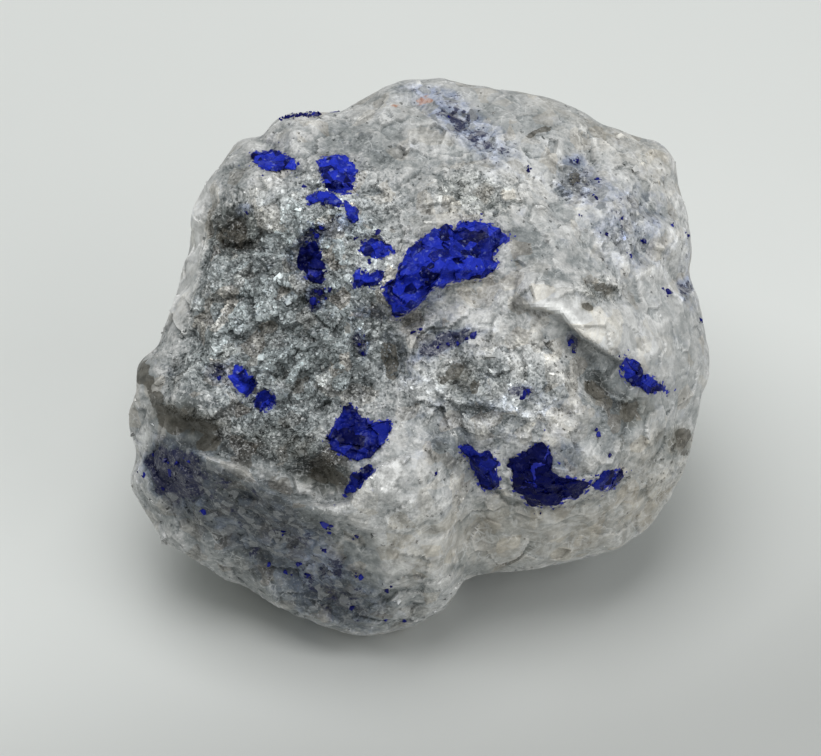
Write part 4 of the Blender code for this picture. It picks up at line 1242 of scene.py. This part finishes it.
def relief(mesh, rounds, full):
    """How far each vertex stands out of its smoothed surroundings: 1 on a crest, -1 in a hollow."""
    points = vertex_array(mesh)
    pairs = np.empty(len(mesh.edges) * 2, np.int32)
    mesh.edges.foreach_get("vertices", pairs)
    ends = np.concatenate([pairs.reshape(-1, 2), pairs.reshape(-1, 2)[:, ::-1]])
    count = np.bincount(ends[:, 0], minlength=len(points))[:, None]
    smooth = points.copy()
    for _ in range(rounds):
        drawn = [np.bincount(ends[:, 0], smooth[ends[:, 1], axis], len(points)) for axis in range(3)]
        smooth = (smooth + np.stack(drawn, axis=1) / count) / 2
    normals = np.empty(len(points) * 3, np.float32)
    mesh.vertices.foreach_get("normal", normals)
    return np.clip(np.sum((points - smooth) * normals.reshape(-1, 3), axis=1) / (full * MM), -1, 1)


def grain_reach(places):
    """How far each place on the face is from the nearest lazurite grain, negative on a grain."""
    reach = np.full(len(places), FAR_FROM_GRAINS)
    for outline, _, _ in GRAINS.values():
        reach = np.minimum(reach, distance_to_outline(places[:, 0], places[:, 1], outline))
    return np.where(places[:, 2] > FACE_BEGINS, reach, FAR_FROM_GRAINS)


def describe_marble(mesh):
    """Gives each vertex the qualities that the materials and the loose grains go by."""
    places = face_frame(mesh)
    ragged = warped(places)
    found = {}
    for name, described, clouds, least, most in QUALITIES:
        found[name] = np.clip(quality(ragged, described, clouds), least, most)
        set_attribute(mesh, name, found[name])
    # Painted shade in hollows and painted light on crests, for the marble's colour.
    set_attribute(mesh, "relief_shade", sum(share * relief(mesh, rounds, full) for rounds, full, share in RELIEF_SHADING))
    reach = grain_reach(places)
    set_attribute(mesh, "reach", reach)
    set_attribute(mesh, "fringe", np.exp(-np.clip(reach, 0, 9) / FRINGE_WIDTH))
    above = np.clip(vertex_array(mesh)[:, 2] / MM - CRUMBS_ABOVE, 0, 1)
    crumbs = found["sugar"] ** CRUMBS_FALL * np.clip(places[:, 2] / FACE_BEGINS, 0, 1) * above
    set_attribute(mesh, "crumbs", np.where(reach > CLEAR_OF_GRAINS, crumbs, 0))


def make_lump():
    """The finished surface of the lump of marble, cut flat where it rests."""
    mesh = dense_ball("marble")
    set_vertices(mesh, lump_points(vertex_array(mesh)))
    mesh.transform(face_to_part())
    cut_underside(mesh)
    describe_marble(mesh)
    return linked("marble", mesh)


def surface_tree(mesh):
    """The lump's surface in the face's frame, for rays to look for."""
    shape = bmesh.new()
    shape.from_mesh(mesh)
    shape.transform(face_to_part().inverted())
    tree = BVHTree.FromBMesh(shape)
    shape.free()
    return tree


def grain_piece(name, way, outline, proud, light, tree):
    """A lens of lazurite with a frayed edge and a broken crown, which follows the lump's surface."""
    turn = Vector((0, 0, 1)).rotation_difference(Vector(way))
    out = turn @ Vector((0, 0, 1))
    centre = np.mean(outline, axis=0)
    shape = bmesh.new()
    levels = 6 if len(outline) > SMALL_GRAIN_POINTS else 5
    bmesh.ops.create_icosphere(shape, subdivisions=levels, radius=1.0)
    mesh = bpy.data.meshes.new(name)
    shape.to_mesh(mesh)
    shape.free()
    directions = vertex_array(mesh)
    theta = np.arctan2(directions[:, 1], directions[:, 0])
    across = np.hypot(directions[:, 0], directions[:, 1])
    stretch = (across**3 + np.abs(directions[:, 2]) ** 3) ** (-1 / 3)
    radius = rim_radius(theta, outline, centre)
    rim_u, rim_v = centre[0] + radius * np.cos(theta), centre[1] + radius * np.sin(theta)
    rim = np.stack([rim_u, rim_v, radius * 0], axis=1)
    for size, reach, shift in FRAYS:
        radius = radius + reach * smooth_noise(rim + shift, size)
    span, rise = across * stretch, directions[:, 2] * stretch
    x, y = centre[0] + radius * span * np.cos(theta), centre[1] + radius * span * np.sin(theta)
    starts = [turn @ Vector((a, b, RAY_START)) for a, b in zip(x, y)]
    surface = np.array([RAY_START - tree.ray_cast(start, -out)[3] for start in starts])
    z = surface + np.where(rise > 0, rise * (proud * CROWN_SHARE + LEAST_CROWN), rise * GRAIN_ROOT)
    places = np.stack([x, y, z], axis=1)
    broken = sum(facets(places + shift, *kind) for shift, kind in CROWN_FACETS)
    places[:, 2] += np.clip(rise * 3, 0, 1) * broken
    set_vertices(mesh, places @ np.array(turn.to_matrix().transposed()))
    mesh.transform(face_to_part())
    set_attribute(mesh, "light", np.full(len(places), light))
    return linked(name, mesh)


def broken_grain(name, seed):
    """A broken block about one unit long, for the grains that are scattered over the stone."""
    chance = np.random.default_rng(seed)
    shape = bmesh.new()
    bmesh.ops.create_cube(shape, size=1.0)
    for vertex in shape.verts:
        vertex.co += Vector(chance.uniform(-CORNER_SHIFT, CORNER_SHIFT, 3))
    hull = bmesh.ops.convex_hull(shape, input=shape.verts[:])
    bmesh.ops.delete(shape, geom=[item for item in hull["geom_interior"] if item.is_valid], context="VERTS")
    bmesh.ops.triangulate(shape, faces=shape.faces[:])
    bmesh.ops.recalc_face_normals(shape, faces=shape.faces[:])
    mesh = bpy.data.meshes.new(name)
    shape.to_mesh(mesh)
    shape.free()
    return linked(name, mesh)


# The random node's sockets for each kind of value: lowest, highest and result.
RANDOM_SOCKETS = {"FLOAT": (2, 3, 1), "FLOAT_VECTOR": (0, 1, 0)}


def scatter_tree(name, block, material, attribute):
    """Scatters blocks over a surface, as thickly as one of its attributes says."""
    tree = bpy.data.node_groups.new(name, "GeometryNodeTree")
    tree.interface.new_socket("Surface", in_out="INPUT", socket_type="NodeSocketGeometry")
    for label in ("Density", "Smallest", "Largest", "Sunk"):
        tree.interface.new_socket(label, in_out="INPUT", socket_type="NodeSocketFloat")
    tree.interface.new_socket("Seed", in_out="INPUT", socket_type="NodeSocketInt")
    tree.interface.new_socket("Grains", in_out="OUTPUT", socket_type="NodeSocketGeometry")
    nodes = Nodes(tree)
    given = nodes.add("NodeGroupInput").outputs

    def chance(kind, low, high, seed_shift):
        """A number or a vector for each grain, anywhere between low and high."""
        first, last, result = RANDOM_SOCKETS[kind]
        seed = nodes.plus(given["Seed"], seed_shift)
        made = nodes.add("FunctionNodeRandomValue", {first: low, last: high, "Seed": seed}, data_type=kind)
        return made.outputs[result]

    thickly = nodes.add("GeometryNodeInputNamedAttribute", {"Name": attribute}, data_type="FLOAT")
    density = nodes.times(given["Density"], thickly.outputs["Attribute"])
    points = nodes.add(
        "GeometryNodeDistributePointsOnFaces",
        {"Mesh": given["Surface"], "Density": density, "Seed": given["Seed"]},
        distribute_method="RANDOM",
    ).outputs

    share = nodes.math("POWER", chance("FLOAT", 0.0, 1.0, 1), SMALLER_MORE_OFTEN)
    span = nodes.minus(given["Largest"], given["Smallest"])
    size = nodes.plus(nodes.times(share, span), given["Smallest"])
    sink = nodes.scaled(points["Normal"], nodes.times(nodes.times(size, given["Sunk"]), -1.0))
    lowered = nodes.add("GeometryNodeSetPosition", {"Geometry": points["Points"], "Offset": sink})

    shape = nodes.add("GeometryNodeObjectInfo", {"Object": block})
    placed = nodes.add("GeometryNodeInstanceOnPoints", {
        "Points": lowered.outputs[0],
        "Instance": shape.outputs["Geometry"],
        "Rotation": chance("FLOAT_VECTOR", (0, 0, 0), (FULL_TURN, FULL_TURN, FULL_TURN), 2),
        "Scale": nodes.scaled(chance("FLOAT_VECTOR", SLIMMEST, STOUTEST, 3), size),
    })
    shaded = nodes.add(
        "GeometryNodeStoreNamedAttribute", {"Geometry": placed.outputs[0], "Name": "shade"},
        data_type="FLOAT", domain="INSTANCE",
    )
    shade = next(socket for socket in shaded.inputs if socket.name == "Value" and socket.enabled)
    nodes.give(shade, chance("FLOAT", 0.0, 1.0, 4))
    real = nodes.add("GeometryNodeRealizeInstances", {"Geometry": shaded.outputs[0]})
    dressed = nodes.add("GeometryNodeSetMaterial", {"Geometry": real.outputs[0], "Material": material})
    nodes.add("NodeGroupOutput", {0: dressed.outputs[0]})
    return tree


def scattered(name, surface, tree, **values):
    """The grains of a scatter over a surface, as a plain mesh of their own."""
    holder = linked(name, surface.data.copy())
    modifier = holder.modifiers.new(name, "NODES")
    modifier.node_group = tree
    for item in tree.interface.items_tree:
        if item.in_out == "INPUT" and item.name in values:
            modifier[item.identifier] = values[item.name]
    graph = bpy.context.evaluated_depsgraph_get()
    mesh = bpy.data.meshes.new_from_object(holder.evaluated_get(graph))
    bpy.data.objects.remove(holder)
    mesh.name = name
    return linked(name, mesh)


def loose_grains(name, lump, material, attribute, density, smallest, largest, shape_seed, seed):
    """Broken grains scattered over the lump where one of its attributes is high, as one piece."""
    block = broken_grain(name + " shape", shape_seed)
    tree = scatter_tree(name + " scatter", block, material, attribute)
    sizes = {"Smallest": smallest * MM, "Largest": largest * MM}
    piece = scattered(name, lump, tree, Density=density, Sunk=SUNK, Seed=seed, **sizes)
    bpy.data.objects.remove(block)
    return piece


def add_chip(shape, chance, place, size):
    """Adds a broken chip to a shape, and returns the number of its corners."""
    corners = [shape.verts.new(Vector(way).normalized()) for way in chance.normal(0, 1, (CHIP_CORNERS, 3))]
    hull = bmesh.ops.convex_hull(shape, input=corners)
    loose = [item for item in hull["geom_interior"] if isinstance(item, bmesh.types.BMVert)]
    bmesh.ops.delete(shape, geom=loose, context="VERTS")
    turn = Matrix.Rotation(chance.uniform(0, FULL_TURN), 4, Vector(chance.normal(0, 1, 3)).normalized())
    scale = Matrix.Diagonal((*(size * chance.uniform(*CHIP_STRETCH, 3)), 1))
    corners = [vertex for vertex in corners if vertex.is_valid]
    bmesh.ops.transform(shape, matrix=place @ turn @ scale, verts=corners)
    return len(corners)


def flecks_piece(tree, material):
    """Little clusters of lazurite chips at their own places on the face."""
    chance = np.random.default_rng(FLECK_SEED)
    shape = bmesh.new()
    to_part = face_to_part()
    shades = []
    for u, v, size in FLECKS:
        for share in FLECK_CHIPS:
            a, b = chance.normal(0, size * (1 - share), 2)
            found = tree.ray_cast(Vector((u + a, v + b, RAY_START)), Vector((0, 0, -1)))[0]
            if found is None:
                continue
            corners = add_chip(shape, chance, to_part @ Matrix.Translation(found), size * share)
            shades += [chance.uniform(*CHIP_SHADES)] * corners
    mesh = bpy.data.meshes.new("lazurite_flecks")
    shape.to_mesh(mesh)
    shape.free()
    set_attribute(mesh, "shade", shades)
    mesh.materials.append(material)
    return linked("lazurite_flecks", mesh)


def dress(piece):
    """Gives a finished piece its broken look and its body."""
    piece.data.shade_flat()
    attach(piece, "root")


def build_specimen():
    """The lump of marble, the lazurite grains in it, and what is loose on it."""
    marble, sugar = marble_material(), sugar_material()
    lazurite, chips = lazurite_material(), chip_material()
    lump = make_lump()
    lump.data.materials.append(marble)
    tree = surface_tree(lump.data)
    dress(lump)
    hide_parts("marble_matrix")

    facing = {name: (FACE_WAY, *described) for name, described in GRAINS.items()}
    facing["lazurite_rim"] = (RIM_GRAIN_WAY, *RIM_GRAIN)
    grains = {name: grain_piece(name + "_face", *described, tree) for name, described in facing.items()}
    for node, grain in grains.items():
        grain.data.materials.append(lazurite)
        dress(grain)
        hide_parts(node)

    finishes = {"crumbs": (sugar, "marble"), "fringe": (chips, "lazurite")}
    for name, attribute, *numbers in LOOSE_GRAINS:
        material, slot = finishes[attribute]
        dress(loose_grains(name, lump, material, attribute, *numbers))
    dress(flecks_piece(tree, chips))


# ---------------------------------------------------------------- the studio, metres

TABLE_SIZE = 4.0
SKY_COLOUR = (0.955, 1.0, 0.975, 1)
SKY_STRENGTH = 0.28
# Soft square lamps: (name, place, size, watts).
LAMPS = [
    ("window", (-0.09, -0.14, 0.96), 0.70, 6.7),
    ("fill", (0.72, -0.50, 0.42), 1.00, 4.2),
]
CAMERA_DISTANCE = 1.5
FARTHEST_SEEN = 10
SENSOR_WIDTH = 36
VIEW_PIXELS = 821
PIXELS_PER_MM = 8
AIM = (-1.19, -2.875, 0)


def set_up(thing, place, way):
    """Puts a lamp or the camera at its place, looking one way."""
    bpy.context.scene.collection.objects.link(thing)
    thing.location = place
    thing.rotation_mode = "QUATERNION"
    thing.rotation_quaternion = way.to_track_quat("-Z", "Y")


def build_studio():
    """A pale table under a soft sky, two lamps, and a camera square to the broken face."""
    bpy.ops.mesh.primitive_plane_add(size=TABLE_SIZE)
    table = bpy.context.object
    table.name = "table"
    table.data.materials.append(table_material())

    world = bpy.data.worlds.new("soft studio")
    bpy.context.scene.world = world
    world.use_nodes = True
    sky = world.node_tree.nodes["Background"]
    sky.inputs["Color"].default_value = SKY_COLOUR
    sky.inputs["Strength"].default_value = SKY_STRENGTH

    to_part = face_to_part()
    middle = to_part @ Vector((0, 0, 0))
    for name, place, size, watts in LAMPS:
        light = bpy.data.lights.new(name, "AREA")
        light.size = size
        light.energy = watts
        set_up(bpy.data.objects.new(name, light), place, middle - Vector(place))

    camera = bpy.data.objects.new("camera", bpy.data.cameras.new("camera"))
    camera.data.sensor_width = SENSOR_WIDTH
    camera.data.lens = SENSOR_WIDTH * CAMERA_DISTANCE / (VIEW_PIXELS / PIXELS_PER_MM * MM)
    camera.data.clip_end = FARTHEST_SEEN
    out = Vector((0, -math.cos(FACE_LEAN), math.sin(FACE_LEAN)))
    set_up(camera, to_part @ Vector(AIM) + out * CAMERA_DISTANCE, -out)
    bpy.context.scene.camera = camera
    bpy.context.scene.view_settings.view_transform = "Standard"


build_specimen()
build_studio()
